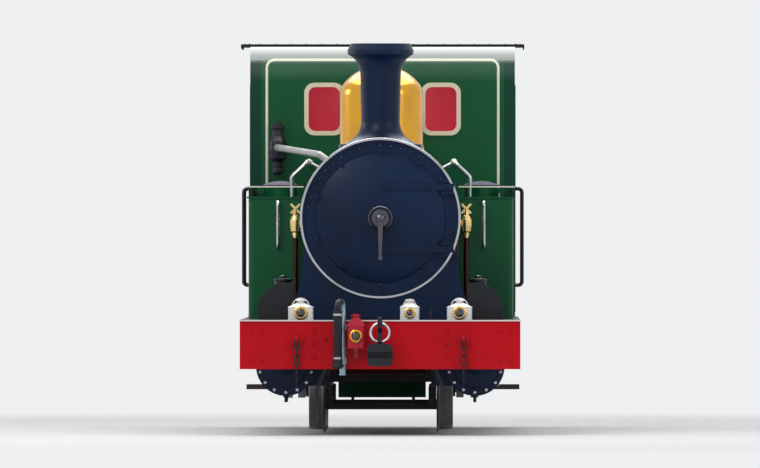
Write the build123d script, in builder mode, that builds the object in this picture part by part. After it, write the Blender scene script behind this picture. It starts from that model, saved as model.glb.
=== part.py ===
import os
from math import asin, atan2, cos, degrees, radians, sin, sqrt

from build123d import *

# A narrow-gauge side tank locomotive with six coupled wheels and outside cylinders.
# All sizes are millimetres. X is across the engine, Y runs from the front beam to the bunker
# and Z is up. Z = 0 is the tips of the wheel flanges, and Y = 0 is midway between the two
# coupler faces, over the driving axle. Heights named _H are above the rail.

# Track and wheels
FLANGE_DEPTH = 28
FLANGE_WIDTH = 28
WHEEL_DIAMETER = 990
BACK_TO_BACK = 854
TYRE_WIDTH = 125
TYRE_THICKNESS = 62
RIM_THICKNESS = 45
SPOKE_COUNT = 10
SPOKE_ROOT_WIDTH = 76
SPOKE_TIP_WIDTH = 50
SPOKE_THICKNESS = 48
HUB_RADIUS = 125
AXLE_RADIUS = 75
AXLE_SPACING = 1600
JOURNAL_PLAY = 0.1
RUNNING_GAP = 6
SEAT_GAP = 0.3

# Frames, beams and running plate
BEAM_SPAN = 6900
BEAM_WIDTH = 2130
BEAM_THICKNESS = 35
BEAM_BOTTOM_H = 476
PLATE_TOP_H = 850
PLATE_THICKNESS = 12
PLATE_NOSING = 12
VALANCE_DEPTH = 90
VALANCE_THICKNESS = 12
LAMP_IRON_X = 385
LAMP_IRON_Y = -3390
LAMP_IRON_HEIGHT = 76
FRAME_GAP = 770
FRAME_THICKNESS = 22
FRAME_BOTTOM_H = 330
HORN_WIDTH = 200
HORN_TOP_H = 640
HORN_BOTTOM_H = 372
COUPLER_OVERHANG = 300
COUPLER_H = 585

# Cylinders and motion
CYLINDER_X = 720
CYLINDER_RADIUS = 215
CYLINDER_LENGTH = 710
CYLINDER_REAR_Y = -2150
COVER_THICKNESS = 30
STROKE = 457
CONNECTING_ROD_LENGTH = 1680
PISTON_ROD_RADIUS = 30
CROSSHEAD_LENGTH = 220
SLIDE_BAR_HALF_GAP = 135
SLIDE_BAR_THICKNESS = 42
SLIDE_BAR_WIDTH = 66
COUPLING_ROD_X = 577
COUPLING_ROD_THICKNESS = 58
CONNECTING_ROD_THICKNESS = 60
ROD_DEPTH = 84
CRANK_PIN_RADIUS = 48
EYE_RADIUS = 88
RIGHT_CRANK_DEG = -45

# Boiler and smokebox
BOILER_H = 1623
BOILER_RADIUS = 565
SMOKEBOX_RADIUS = 604
SMOKEBOX_WALL = 14
SMOKEBOX_FRONT = 620
SMOKEBOX_REAR = 1420
DOOR_RADIUS = 490
DOOR_OPENING_RADIUS = 440
DOOR_DISH = 70
DOOR_RIM = 20
DOOR_HINGE_X = 548
DOOR_STRAP_H = 237
CHIMNEY_STATION = 1000
CHIMNEY_TOP_H = 2957
CHIMNEY_RADIUS = 147
CHIMNEY_CAP_RADIUS = 252
CHIMNEY_BORE = 118
DOME_STATION = 2750
DOME_RADIUS = 322
DOME_TOP_H = 2805
DOME_SHOULDER_H = 2580
DOME_SHOULDER_RADIUS = 130
BACKHEAD_STATION = 5010
FIREBOX_FRONT_STATION = 3830
FIREBOX_REAR_STATION = 4830
FIREBOX_WIDTH = 740
ASHPAN_BOTTOM_H = 230

# Tanks and cab
TANK_FRONT_STATION = 1630
TANK_INNER_X = 590
TANK_OUTER_X = 1015
TANK_TOP_H = 1788
FILLER_X = 770
FILLER_STATION = 1960
FILLER_RADIUS = 135
CAB_FRONT_STATION = 4900
CAB_REAR_STATION = 6450
CAB_HALF_WIDTH = 1037
CAB_SHEET = 10
CAB_EAVES_H = 2978
CAB_FRONT_BEND = 260
ROOF_THICKNESS = 8
ROOF_HALF_WIDTH = 1112
FLOOR_THICKNESS = 40
WINDOW_X = 457
WINDOW_H = 2482
WINDOW_WIDTH = 245
WINDOW_HEIGHT = 345
WINDOW_CORNER = 55
WINDOW_FRAME = 34
REAR_WINDOW_X = 780
DOORWAY_WIDTH = 520
BUNKER_HALF_WIDTH = 1010
BUNKER_TOP_H = 1850
BUNKER_FLARE = 60

# Places that follow from the sizes above
FRONT_Y = -BEAM_SPAN / 2
REAR_Y = BEAM_SPAN / 2
AXLE_Z = FLANGE_DEPTH + WHEEL_DIAMETER / 2
BOILER_Z = FLANGE_DEPTH + BOILER_H
PLATE_TOP_Z = FLANGE_DEPTH + PLATE_TOP_H
PLATE_BOTTOM_Z = PLATE_TOP_Z - PLATE_THICKNESS
FRAME_X = FRAME_GAP / 2
FRAME_OUTER_X = FRAME_X + FRAME_THICKNESS
WHEEL_INNER_X = BACK_TO_BACK / 2
FLANGE_RADIUS = WHEEL_DIAMETER / 2 + FLANGE_DEPTH
CRANK_RADIUS = STROKE / 2
COUPLING_ROD_OUTER_X = COUPLING_ROD_X + COUPLING_ROD_THICKNESS
PIN_END_X = COUPLING_ROD_OUTER_X + 10
STUB_X = PIN_END_X + RUNNING_GAP
AXLE_YS = [-AXLE_SPACING, 0, AXLE_SPACING]
AXLE_NAMES = ["leading", "driving", "trailing"]
SIDES = {"right": 1, "left": -1}
SMOKEBOX_FRONT_Y = FRONT_Y + SMOKEBOX_FRONT
SMOKEBOX_REAR_Y = FRONT_Y + SMOKEBOX_REAR
CHIMNEY_Y = FRONT_Y + CHIMNEY_STATION
DOME_Y = FRONT_Y + DOME_STATION
BACKHEAD_Y = FRONT_Y + BACKHEAD_STATION
TANK_FRONT_Y = FRONT_Y + TANK_FRONT_STATION
FILLER_Y = FRONT_Y + FILLER_STATION
CAB_FRONT_Y = FRONT_Y + CAB_FRONT_STATION
CAB_REAR_Y = FRONT_Y + CAB_REAR_STATION
TANK_TOP_Z = FLANGE_DEPTH + TANK_TOP_H
EAVES_Z = FLANGE_DEPTH + CAB_EAVES_H
FLOOR_TOP_Z = PLATE_TOP_Z + FLOOR_THICKNESS
SPLASHER_RADIUS = FLANGE_RADIUS + 32


def facing(y):
    """The plane across the engine at y, seen from the front: local x is X, local y is Z."""
    return Plane.XZ.offset(-y)


def beside(x):
    """The plane along the engine at x: local x is Y, local y is Z."""
    return Plane.YZ.offset(x)


def level(z):
    """The level plane at height z."""
    return Plane.XY.offset(z)


def slab(x0, x1, y0, y1, z0, z1, mode=Mode.ADD):
    """A plain plate or block between two corners."""
    with Locations(((x0 + x1) / 2, (y0 + y1) / 2, (z0 + z1) / 2)):
        Box(abs(x1 - x0), abs(y1 - y0), abs(z1 - z0), mode=mode)


def round_along_y(x, z, y0, y1, radius, mode=Mode.ADD):
    """A round bar, or a round hole, from y0 to y1."""
    with BuildSketch(facing(y0)) as end:
        with Locations((x, z)):
            Circle(radius)
    extrude(end.sketch, amount=y0 - y1, mode=mode)


def round_along_x(y, z, x0, x1, radius, mode=Mode.ADD):
    """A round bar, or a round hole, from x0 to x1."""
    with BuildSketch(beside(x0)) as end:
        with Locations((y, z)):
            Circle(radius)
    extrude(end.sketch, amount=x1 - x0, mode=mode)


def round_along_z(x, y, z0, z1, radius, mode=Mode.ADD):
    """A round bar, or a round hole, from z0 to z1."""
    with BuildSketch(level(z0)) as end:
        with Locations((x, y)):
            Circle(radius)
    extrude(end.sketch, amount=z1 - z0, mode=mode)


def tube_along(points, radius, bend):
    """A round pipe through points, with each corner bent to the same radius."""
    with BuildLine() as route:
        if len(points) == 2:
            Line(*points)
        else:
            FilletPolyline(*points, radius=bend)
    start = route.line @ 0
    with BuildSketch(Plane(origin=start, z_dir=route.line % 0)) as end:
        Circle(radius)
    sweep(end.sketch, path=route.line)


def turned_up(x, y, z, profile):
    """A turned form that stands at a point, from (radius, height) pairs."""
    with BuildSketch(Plane.XZ) as half:
        with BuildLine():
            Polyline((0, profile[0][1]), *profile, (0, profile[-1][1]), close=True)
        make_face()
    revolve(half.sketch.moved(Location((x, y, z))), axis=Axis((x, y, z), (0, 0, 1)))


def turned_along_y(x, y, z, way, profile):
    """A turned form that lies along the engine from a point, from (radius, reach) pairs."""
    with BuildSketch(Plane.XY) as half:
        with BuildLine():
            Polyline((0, way * profile[0][1]), *[(radius, way * reach) for radius, reach in profile],
                     (0, way * profile[-1][1]), close=True)
        make_face()
    revolve(half.sketch.moved(Location((x, y, z))), axis=Axis((x, y, z), (0, 1, 0)))


def save(piece, name):
    """Label a finished piece and write it under its own name."""
    piece.part.label = name
    export_step(piece.part, f"parts/{name}.step")


os.makedirs("parts", exist_ok=True)

# Main frames: two plates with a window for each axlebox, shaped up at the ends, and the guard
# irons that hang from their front ends
FRAME_END_RISE_Y = 2700
FRAME_END_SLOPE = 180
GUARD_IRON_SETOUT = 360
GUARD_IRON_X = 470
GUARD_IRON_THICKNESS = 24
GUARD_IRON_WIDTH = 90
GUARD_IRON_BOTTOM_H = 70
HORN_GUIDE_PROUD = 12
HORN_GUIDE_WIDTH = 45
frame_end_z = FLANGE_DEPTH + BEAM_BOTTOM_H
with BuildPart() as main_frames:
    for side in SIDES.values():
        inner = side * FRAME_X
        with BuildSketch(beside(inner)):
            with BuildLine():
                Polyline(
                    (FRONT_Y + BEAM_THICKNESS, PLATE_BOTTOM_Z),
                    (REAR_Y - BEAM_THICKNESS, PLATE_BOTTOM_Z),
                    (REAR_Y - BEAM_THICKNESS, frame_end_z),
                    (FRAME_END_RISE_Y + FRAME_END_SLOPE, frame_end_z),
                    (FRAME_END_RISE_Y, FLANGE_DEPTH + FRAME_BOTTOM_H),
                    (-FRAME_END_RISE_Y, FLANGE_DEPTH + FRAME_BOTTOM_H),
                    (-FRAME_END_RISE_Y - FRAME_END_SLOPE, frame_end_z),
                    (FRONT_Y + BEAM_THICKNESS, frame_end_z),
                    close=True,
                )
            make_face()
            horn_height = HORN_TOP_H - HORN_BOTTOM_H
            horn_z = FLANGE_DEPTH + (HORN_TOP_H + HORN_BOTTOM_H) / 2
            with Locations(*[(y, horn_z) for y in AXLE_YS]):
                Rectangle(HORN_WIDTH, horn_height, mode=Mode.SUBTRACT)
            with Locations((-AXLE_SPACING / 2, AXLE_Z), (AXLE_SPACING / 2, AXLE_Z)):
                SlotOverall(620, 190, mode=Mode.SUBTRACT)
        extrude(amount=side * FRAME_THICKNESS)
    for side in SIDES.values():
        face = side * FRAME_OUTER_X
        foot = side * GUARD_IRON_X
        thickness = side * GUARD_IRON_THICKNESS
        for end in (-1, 1):
            guard_y = end * (FRAME_END_RISE_Y + GUARD_IRON_SETOUT)
            with BuildSketch(facing(guard_y)) as guard_iron:
                with BuildLine():
                    Polyline(
                        (face, PLATE_BOTTOM_Z - 60),
                        (face, frame_end_z - 10),
                        (foot, frame_end_z - 160),
                        (foot, FLANGE_DEPTH + GUARD_IRON_BOTTOM_H),
                        (foot + thickness, FLANGE_DEPTH + GUARD_IRON_BOTTOM_H),
                        (foot + thickness, frame_end_z - 150),
                        (face + thickness, frame_end_z),
                        (face + thickness, PLATE_BOTTOM_Z - 60),
                        close=True,
                    )
                make_face()
            extrude(guard_iron.sketch, amount=-end * GUARD_IRON_WIDTH)
        for y in AXLE_YS:
            for way in (-1, 1):
                guide_y = y + way * HORN_WIDTH / 2
                slab(face, face + side * HORN_GUIDE_PROUD, guide_y, guide_y + way * HORN_GUIDE_WIDTH,
                     FLANGE_DEPTH + HORN_BOTTOM_H, FLANGE_DEPTH + HORN_TOP_H + HORN_GUIDE_WIDTH)
save(main_frames, "main_frames")

# Stretchers that tie the two frame plates together, clear of axles, firebox and ashpan
STRETCHERS = [
    # y, length, bottom above rail, top above rail
    (-3150, 30, 490, 830),
    (-2505, 620, 560, 830),
    (-800, 30, 360, 830),
    (2250, 30, 400, 830),
    (2930, 500, 490, 640),
]
with BuildPart() as frame_stretchers:
    for y, length, bottom_h, top_h in STRETCHERS:
        slab(-FRAME_X, FRAME_X, y - length / 2, y + length / 2, FLANGE_DEPTH + bottom_h,
             FLANGE_DEPTH + top_h)
save(frame_stretchers, "frame_stretchers")

# Buffer beams: one flat plate at each end, with a slot for the coupler's shank and a plate with
# an eye on each side for a safety chain
SHANK_WIDTH = 110
SHANK_HEIGHT = 90
CHAIN_X = 634
CHAIN_EYE_H = 700
EYE_PLATE_SIZE = 96
EYE_PLATE_THICKNESS = 12
EYE_LUG_THICKNESS = 14
EYE_HOLE_RADIUS = 13
EYE_REACH = 42
eye_z = FLANGE_DEPTH + CHAIN_EYE_H
beam_bottom = FLANGE_DEPTH + BEAM_BOTTOM_H
shank_z = FLANGE_DEPTH + COUPLER_H
with BuildPart() as buffer_beams:
    for end in (-1, 1):
        face = end * BEAM_SPAN / 2
        inner = face - end * BEAM_THICKNESS
        slab(-BEAM_WIDTH / 2, BEAM_WIDTH / 2, inner, face, beam_bottom, PLATE_BOTTOM_Z)
        slab(-SHANK_WIDTH / 2, SHANK_WIDTH / 2, inner, face, shank_z - SHANK_HEIGHT / 2,
             shank_z + SHANK_HEIGHT / 2, Mode.SUBTRACT)
        for side in SIDES.values():
            with BuildSketch(facing(face)) as eye_plate:
                with Locations((side * CHAIN_X, eye_z)):
                    RectangleRounded(EYE_PLATE_SIZE, EYE_PLATE_SIZE, 14)
            extrude(eye_plate.sketch, amount=-end * EYE_PLATE_THICKNESS)
            with BuildSketch(beside(side * CHAIN_X - EYE_LUG_THICKNESS / 2)) as lug:
                with Locations((face + end * EYE_REACH, eye_z)):
                    Circle(2 * EYE_HOLE_RADIUS)
                with Locations((face + end * EYE_REACH / 2, eye_z)):
                    Rectangle(EYE_REACH, 4 * EYE_HOLE_RADIUS)
                with Locations((face + end * EYE_REACH, eye_z)):
                    Circle(EYE_HOLE_RADIUS, mode=Mode.SUBTRACT)
            extrude(lug.sketch, amount=EYE_LUG_THICKNESS)
save(buffer_beams, "buffer_beams")

# Running plate: a slot over each wheel, an opening for the firebox, a valance each side and a spare
# iron for a lamp in front
SLOT_HALF_LENGTH = 430
SLOT_INNER_X = FRAME_OUTER_X + 6
SLOT_OUTER_X = TANK_INNER_X - 12
with BuildPart() as running_plate:
    slab(-BEAM_WIDTH / 2, BEAM_WIDTH / 2, FRONT_Y - PLATE_NOSING, REAR_Y + PLATE_NOSING, PLATE_BOTTOM_Z,
         PLATE_TOP_Z)
    for side in SIDES.values():
        for y in AXLE_YS:
            slab(side * SLOT_INNER_X, side * SLOT_OUTER_X, y - SLOT_HALF_LENGTH, y + SLOT_HALF_LENGTH,
                 PLATE_BOTTOM_Z, PLATE_TOP_Z, Mode.SUBTRACT)
        valance_outer = side * (BEAM_WIDTH / 2 - 40)
        slab(valance_outer - side * VALANCE_THICKNESS, valance_outer, FRONT_Y + BEAM_THICKNESS,
             REAR_Y - BEAM_THICKNESS,
             PLATE_BOTTOM_Z - VALANCE_DEPTH, PLATE_BOTTOM_Z)
    slab(-FIREBOX_WIDTH / 2 - 8, FIREBOX_WIDTH / 2 + 8, FRONT_Y + FIREBOX_FRONT_STATION - 10,
         FRONT_Y + FIREBOX_REAR_STATION + 10, PLATE_BOTTOM_Z, PLATE_TOP_Z, Mode.SUBTRACT)
    slab(LAMP_IRON_X - 7, LAMP_IRON_X + 7, LAMP_IRON_Y - 25, LAMP_IRON_Y + 25, PLATE_TOP_Z,
         PLATE_TOP_Z + LAMP_IRON_HEIGHT)
    slab(LAMP_IRON_X - 32, LAMP_IRON_X + 32, LAMP_IRON_Y - 25, LAMP_IRON_Y + 25, PLATE_TOP_Z,
         PLATE_TOP_Z + 10)
save(running_plate, "running_plate")

# Couplers: a centre buffer with a mouth for the neighbour's link and a hole for its pin, and
# behind the mouth a hook that carries a ring. A safety chain of four links and a hook hangs on
# each side from the eye on its beam.
COUPLER_HEAD_WIDTH = 195
COUPLER_HEAD_HEIGHT = 172
COUPLER_HEAD_DEPTH = 110
COUPLER_CORNER = 40
COUPLER_MOUTH_DEPTH = 85
COUPLER_MOUTH_HEIGHT = 44
COUPLER_PIN_RADIUS = 17
COUPLER_PIN_SETBACK = 30
HOOK_THICKNESS = 36
HOOK_TIP_H = 876
RING_OUTER_RADIUS = 81
RING_BAR_RADIUS = 10
LINK_COUNT = 4
LINK_LENGTH = 84
LINK_WIDTH = 46
LINK_BAR = 12
CHAIN_HOOK_EYE = 24
CHAIN_HOOK_LENGTH = 70
CHAIN_HOOK_BEND = 24
with BuildPart() as couplers:
    for end in (-1, 1):
        face = end * (BEAM_SPAN / 2 + COUPLER_OVERHANG)
        head_back = face - end * COUPLER_HEAD_DEPTH
        shank_end = end * (BEAM_SPAN / 2 - 250)
        head_z = FLANGE_DEPTH + COUPLER_H
        head_top = head_z + COUPLER_HEAD_HEIGHT / 2
        slab(-SHANK_WIDTH / 2 + SEAT_GAP, SHANK_WIDTH / 2 - SEAT_GAP, shank_end, head_back,
             head_z - SHANK_HEIGHT / 2 + SEAT_GAP, head_z + SHANK_HEIGHT / 2 - SEAT_GAP)
        with BuildSketch(facing(head_back)) as head:
            with Locations((0, head_z)):
                RectangleRounded(COUPLER_HEAD_WIDTH, COUPLER_HEAD_HEIGHT, COUPLER_CORNER)
        extrude(head.sketch, amount=-end * COUPLER_HEAD_DEPTH)
        slab(-COUPLER_HEAD_WIDTH / 2, COUPLER_HEAD_WIDTH / 2, face - end * COUPLER_MOUTH_DEPTH, face,
             head_z - COUPLER_MOUTH_HEIGHT / 2, head_z + COUPLER_MOUTH_HEIGHT / 2, Mode.SUBTRACT)
        round_along_z(0, face - end * COUPLER_PIN_SETBACK, head_top - COUPLER_HEAD_HEIGHT, head_top,
                      COUPLER_PIN_RADIUS, Mode.SUBTRACT)
        hook_tip_z = FLANGE_DEPTH + HOOK_TIP_H
        throat_z = hook_tip_z - 62
        with BuildSketch(beside(-HOOK_THICKNESS / 2)) as hook:
            with BuildLine():
                Polyline(
                    (head_back + end * 58, throat_z - 24),
                    (head_back + end * 62, hook_tip_z - 14),
                    (head_back + end * 52, hook_tip_z),
                    (head_back + end * 42, hook_tip_z - 14),
                    (head_back + end * 38, throat_z),
                    (head_back + end * 10, throat_z),
                    (head_back + end * 4, hook_tip_z - 40),
                    (head_back - end * 18, hook_tip_z - 40),
                    (head_back - end * 30, throat_z - 30),
                    (head_back - end * 22, head_top - 60),
                    (head_back + end * 22, head_top - 60),
                    (head_back + end * 6, throat_z - 58),
                    close=True,
                )
            make_face()
        extrude(hook.sketch, amount=HOOK_THICKNESS)
        ring_y = head_back + end * 24
        ring_z = throat_z + SEAT_GAP + RING_BAR_RADIUS - RING_OUTER_RADIUS + RING_BAR_RADIUS
        with BuildSketch(level(ring_z)) as bar:
            with Locations((RING_OUTER_RADIUS - RING_BAR_RADIUS, ring_y)):
                Circle(RING_BAR_RADIUS)
        revolve(bar.sketch, axis=Axis((0, ring_y, ring_z), (0, 1, 0)))
        chain_y = end * (BEAM_SPAN / 2 + EYE_REACH)
        for side in SIDES.values():
            eye_floor_z = eye_z - sqrt(EYE_HOLE_RADIUS ** 2 - LINK_BAR ** 2 / 4)
            link_bend = LINK_WIDTH / 2 - LINK_BAR
            link_sag = link_bend - sqrt(link_bend ** 2 - EYE_LUG_THICKNESS ** 2 / 4)
            link_top = eye_floor_z + LINK_BAR + link_sag + SEAT_GAP
            for link in range(LINK_COUNT):
                across = link % 2 == 0
                middle_z = link_top - LINK_LENGTH / 2
                plane = facing(chain_y + LINK_BAR / 2) if across else beside(side * CHAIN_X - LINK_BAR / 2)
                centre = (side * CHAIN_X if across else chain_y, middle_z)
                with BuildSketch(plane) as chain_link:
                    with Locations(Location((centre[0], centre[1], 0), (0, 0, 90))):
                        SlotOverall(LINK_LENGTH, LINK_WIDTH)
                        SlotOverall(LINK_LENGTH - 2 * LINK_BAR, LINK_WIDTH - 2 * LINK_BAR,
                                    mode=Mode.SUBTRACT)
                extrude(chain_link.sketch, amount=LINK_BAR)
                link_top -= LINK_LENGTH - 2 * LINK_BAR - SEAT_GAP
            hook_eye_z = link_top - CHAIN_HOOK_EYE
            bend_z = hook_eye_z - CHAIN_HOOK_LENGTH
            with BuildSketch(beside(side * CHAIN_X - LINK_BAR / 2)) as chain_hook:
                with Locations((chain_y, hook_eye_z)):
                    Circle(CHAIN_HOOK_EYE)
                with Locations((chain_y, (hook_eye_z + bend_z) / 2)):
                    Rectangle(1.6 * LINK_BAR, CHAIN_HOOK_LENGTH)
                with Locations((chain_y + end * CHAIN_HOOK_BEND, bend_z)):
                    Circle(CHAIN_HOOK_BEND + 0.8 * LINK_BAR)
                    Circle(CHAIN_HOOK_BEND - 0.8 * LINK_BAR, mode=Mode.SUBTRACT)
                with Locations((chain_y + end * 1.8 * CHAIN_HOOK_BEND, bend_z + CHAIN_HOOK_BEND)):
                    Rectangle(2 * CHAIN_HOOK_BEND, 2 * CHAIN_HOOK_BEND, mode=Mode.SUBTRACT)
                with Locations((chain_y, hook_eye_z)):
                    Circle(CHAIN_HOOK_EYE - LINK_BAR, mode=Mode.SUBTRACT)
            extrude(chain_hook.sketch, amount=LINK_BAR)
save(couplers, "couplers")

# Cylinders: a round barrel beside the frame, a steam chest over it, a turned cover at each end,
# drain cocks underneath and the hole that the piston rod slides in
PISTON_HOLE_DEPTH = 640
COVER_LIP = 12
DRAIN_COCK_SETBACK = 70
GLAND_LENGTH = 90
FRONT_COVER = [
    # radius, reach from the end of the barrel
    (CYLINDER_RADIUS + COVER_LIP, 0),
    (CYLINDER_RADIUS + COVER_LIP, COVER_THICKNESS),
    (170, COVER_THICKNESS),
    (155, COVER_THICKNESS + 12),
    (62, COVER_THICKNESS + 20),
    (48, COVER_THICKNESS + 38),
]
REAR_COVER = [
    # radius, reach from the end of the barrel
    (CYLINDER_RADIUS + COVER_LIP, 0),
    (CYLINDER_RADIUS + COVER_LIP, COVER_THICKNESS),
    (126, COVER_THICKNESS),
    (110, COVER_THICKNESS + 14),
    (84, COVER_THICKNESS + 20),
    (78, COVER_THICKNESS + 60),
    (62, COVER_THICKNESS + 60),
    (62, COVER_THICKNESS + GLAND_LENGTH),
]
cylinder_front_y = CYLINDER_REAR_Y - CYLINDER_LENGTH
with BuildPart() as cylinders:
    for side in SIDES.values():
        with BuildSketch(facing(cylinder_front_y + COVER_THICKNESS)) as barrel:
            with Locations((side * CYLINDER_X, AXLE_Z)):
                Circle(CYLINDER_RADIUS)
            with Locations((side * (FRAME_OUTER_X + CYLINDER_X) / 2, AXLE_Z + 20)):
                Rectangle(CYLINDER_X - FRAME_OUTER_X, 340)
            with Locations((side * CYLINDER_X, AXLE_Z + CYLINDER_RADIUS)):
                Rectangle(300, 200)
        extrude(barrel.sketch, amount=-(CYLINDER_LENGTH - 2 * COVER_THICKNESS))
        turned_along_y(side * CYLINDER_X, cylinder_front_y + COVER_THICKNESS, AXLE_Z, -1, FRONT_COVER)
        turned_along_y(side * CYLINDER_X, CYLINDER_REAR_Y - COVER_THICKNESS, AXLE_Z, 1, REAR_COVER)
        for cock_y in (cylinder_front_y + DRAIN_COCK_SETBACK, CYLINDER_REAR_Y - DRAIN_COCK_SETBACK):
            cylinder_bottom = AXLE_Z - CYLINDER_RADIUS
            round_along_z(side * CYLINDER_X, cock_y, cylinder_bottom - 24, cylinder_bottom + 20, 20)
            round_along_z(side * CYLINDER_X, cock_y, cylinder_bottom - 60, cylinder_bottom - 24, 12)
            slab(side * CYLINDER_X - 7, side * CYLINDER_X + 7, cock_y - 30, cock_y + 30,
                 cylinder_bottom - 16, cylinder_bottom - 6)
        round_along_y(side * CYLINDER_X, AXLE_Z, CYLINDER_REAR_Y - PISTON_HOLE_DEPTH,
                      CYLINDER_REAR_Y + GLAND_LENGTH,
                      PISTON_ROD_RADIUS + JOURNAL_PLAY, Mode.SUBTRACT)
save(cylinders, "cylinders")

# Slide bars above and below each crosshead. The rear cover of the cylinder and a bracket under the
# running plate hold them, and the connecting rod passes through the bracket's window.
SLIDE_BAR_REAR_Y = -1318
BRACKET_THICKNESS = 30
BRACKET_OUTER_REACH = 90
BRACKET_ROD_GAP = 9
with BuildPart() as slide_bars:
    bracket_front_y = SLIDE_BAR_REAR_Y + SEAT_GAP
    bracket_inner = PIN_END_X + BRACKET_ROD_GAP
    bracket_outer = CYLINDER_X + BRACKET_OUTER_REACH
    bracket_bottom = AXLE_Z - SLIDE_BAR_HALF_GAP - SLIDE_BAR_THICKNESS
    for side in SIDES.values():
        x0 = side * (CYLINDER_X - SLIDE_BAR_WIDTH / 2)
        x1 = side * (CYLINDER_X + SLIDE_BAR_WIDTH / 2)
        for sign in (-1, 1):
            slab(x0, x1, CYLINDER_REAR_Y, SLIDE_BAR_REAR_Y, AXLE_Z + sign * SLIDE_BAR_HALF_GAP,
                 AXLE_Z + sign * (SLIDE_BAR_HALF_GAP + SLIDE_BAR_THICKNESS))
        with BuildSketch(facing(bracket_front_y)) as bracket:
            with Locations((side * (bracket_outer + bracket_inner) / 2,
                            (PLATE_BOTTOM_Z + bracket_bottom) / 2)):
                Rectangle(bracket_outer - bracket_inner, PLATE_BOTTOM_Z - bracket_bottom)
            with Locations((side * CYLINDER_X, AXLE_Z)):
                Rectangle(SLIDE_BAR_WIDTH + 20, 2 * SLIDE_BAR_HALF_GAP, mode=Mode.SUBTRACT)
        extrude(bracket.sketch, amount=-BRACKET_THICKNESS)
save(slide_bars, "slide_bars")

# Wheels: tyre, rim, spokes, crank boss and balance weight on each end of an axle. The cranks of
# the two sides stand a quarter turn apart.
tread_radius = WHEEL_DIAMETER / 2
rim_outer = tread_radius - TYRE_THICKNESS
rim_inner = rim_outer - RIM_THICKNESS
hub_outer_x = COUPLING_ROD_X - RUNNING_GAP
AXLE_END_PROUD = 7
AXLE_CENTRE_RADIUS = 14
crank_angles = {"right": RIGHT_CRANK_DEG, "left": RIGHT_CRANK_DEG - 90}


def crank_place(side_name, y):
    """Where a wheel's crank pin stands at rest, in Y and Z."""
    angle = radians(crank_angles[side_name])
    return y + CRANK_RADIUS * cos(angle), AXLE_Z + CRANK_RADIUS * sin(angle)


for axle_name, axle_y in zip(AXLE_NAMES, AXLE_YS):
    with BuildPart() as wheelset:
        round_along_x(axle_y, AXLE_Z, -WHEEL_INNER_X - 20, WHEEL_INNER_X + 20, AXLE_RADIUS)
        for side_name, side in SIDES.items():
            inner_x = side * WHEEL_INNER_X
            flange_x = side * (WHEEL_INNER_X + FLANGE_WIDTH)
            tyre_outer_x = side * (WHEEL_INNER_X + TYRE_WIDTH)
            rim_x0 = side * (WHEEL_INNER_X + 12)
            rim_x1 = side * (WHEEL_INNER_X + TYRE_WIDTH - 8)
            with BuildSketch(Plane.XY) as section:
                with BuildLine():
                    Polyline(
                        (inner_x, rim_outer),
                        (inner_x, tread_radius + FLANGE_DEPTH - 8),
                        (inner_x + side * 10, tread_radius + FLANGE_DEPTH),
                        (flange_x - side * 10, tread_radius + 6),
                        (flange_x, tread_radius),
                        (tyre_outer_x - side * 6, tread_radius - 4),
                        (tyre_outer_x, tread_radius - 10),
                        (tyre_outer_x, rim_outer),
                        (rim_x1, rim_outer),
                        (rim_x1, rim_inner),
                        (rim_x0, rim_inner),
                        (rim_x0, rim_outer),
                        close=True,
                    )
                make_face()
            axle_line = Axis((0, axle_y, AXLE_Z), (1, 0, 0))
            ring = section.sketch.moved(Location((0, axle_y, AXLE_Z)))
            revolve(ring, axis=axle_line)
            round_along_x(axle_y, AXLE_Z, inner_x, side * hub_outer_x, HUB_RADIUS)
            round_along_x(axle_y, AXLE_Z, side * hub_outer_x, side * (hub_outer_x + AXLE_END_PROUD),
                          AXLE_RADIUS)
            round_along_x(axle_y, AXLE_Z, side * (hub_outer_x - 20), side * (hub_outer_x + AXLE_END_PROUD),
                          AXLE_CENTRE_RADIUS, Mode.SUBTRACT)
            pin_y, pin_z = crank_place(side_name, axle_y)
            spoke_x = side * (WHEEL_INNER_X + 45)
            with BuildSketch(beside(spoke_x)) as spokes:
                with Locations((axle_y, AXLE_Z)):
                    with PolarLocations((HUB_RADIUS + rim_inner) / 2, SPOKE_COUNT,
                                        start_angle=crank_angles[side_name] + 18):
                        spoke_half = (rim_inner - HUB_RADIUS + 30) / 2
                        Polygon((-spoke_half, -SPOKE_ROOT_WIDTH / 2), (spoke_half, -SPOKE_TIP_WIDTH / 2),
                                (spoke_half, SPOKE_TIP_WIDTH / 2), (-spoke_half,
                                                                    SPOKE_ROOT_WIDTH / 2), align=None)
            extrude(spokes.sketch, amount=side * SPOKE_THICKNESS)
            weight_angle = crank_angles[side_name] + 180
            with BuildSketch(beside(spoke_x - side * 14)) as weight:
                with Locations((axle_y, AXLE_Z)):
                    Circle(rim_inner + 4)
                    with Locations(Location((0, 0, 0), (0, 0, weight_angle))):
                        with Locations((-tread_radius + 265, 0)):
                            Rectangle(2 * tread_radius, 2 * tread_radius, mode=Mode.SUBTRACT)
            extrude(weight.sketch, amount=side * (SPOKE_THICKNESS + 24))
            round_along_x(pin_y, pin_z, spoke_x, side * hub_outer_x, EYE_RADIUS - 8)
            with BuildSketch(beside(spoke_x)) as web:
                with Locations(Location(((axle_y + pin_y) / 2, (AXLE_Z + pin_z) / 2),
                                        (0, 0, crank_angles[side_name]))):
                    Rectangle(CRANK_RADIUS, 2 * EYE_RADIUS - 20)
            extrude(web.sketch, amount=side * (hub_outer_x - WHEEL_INNER_X - 45))
            round_along_x(pin_y, pin_z, side * hub_outer_x, side * PIN_END_X, CRANK_PIN_RADIUS)
    save(wheelset, f"{axle_name}_wheelset")

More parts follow.
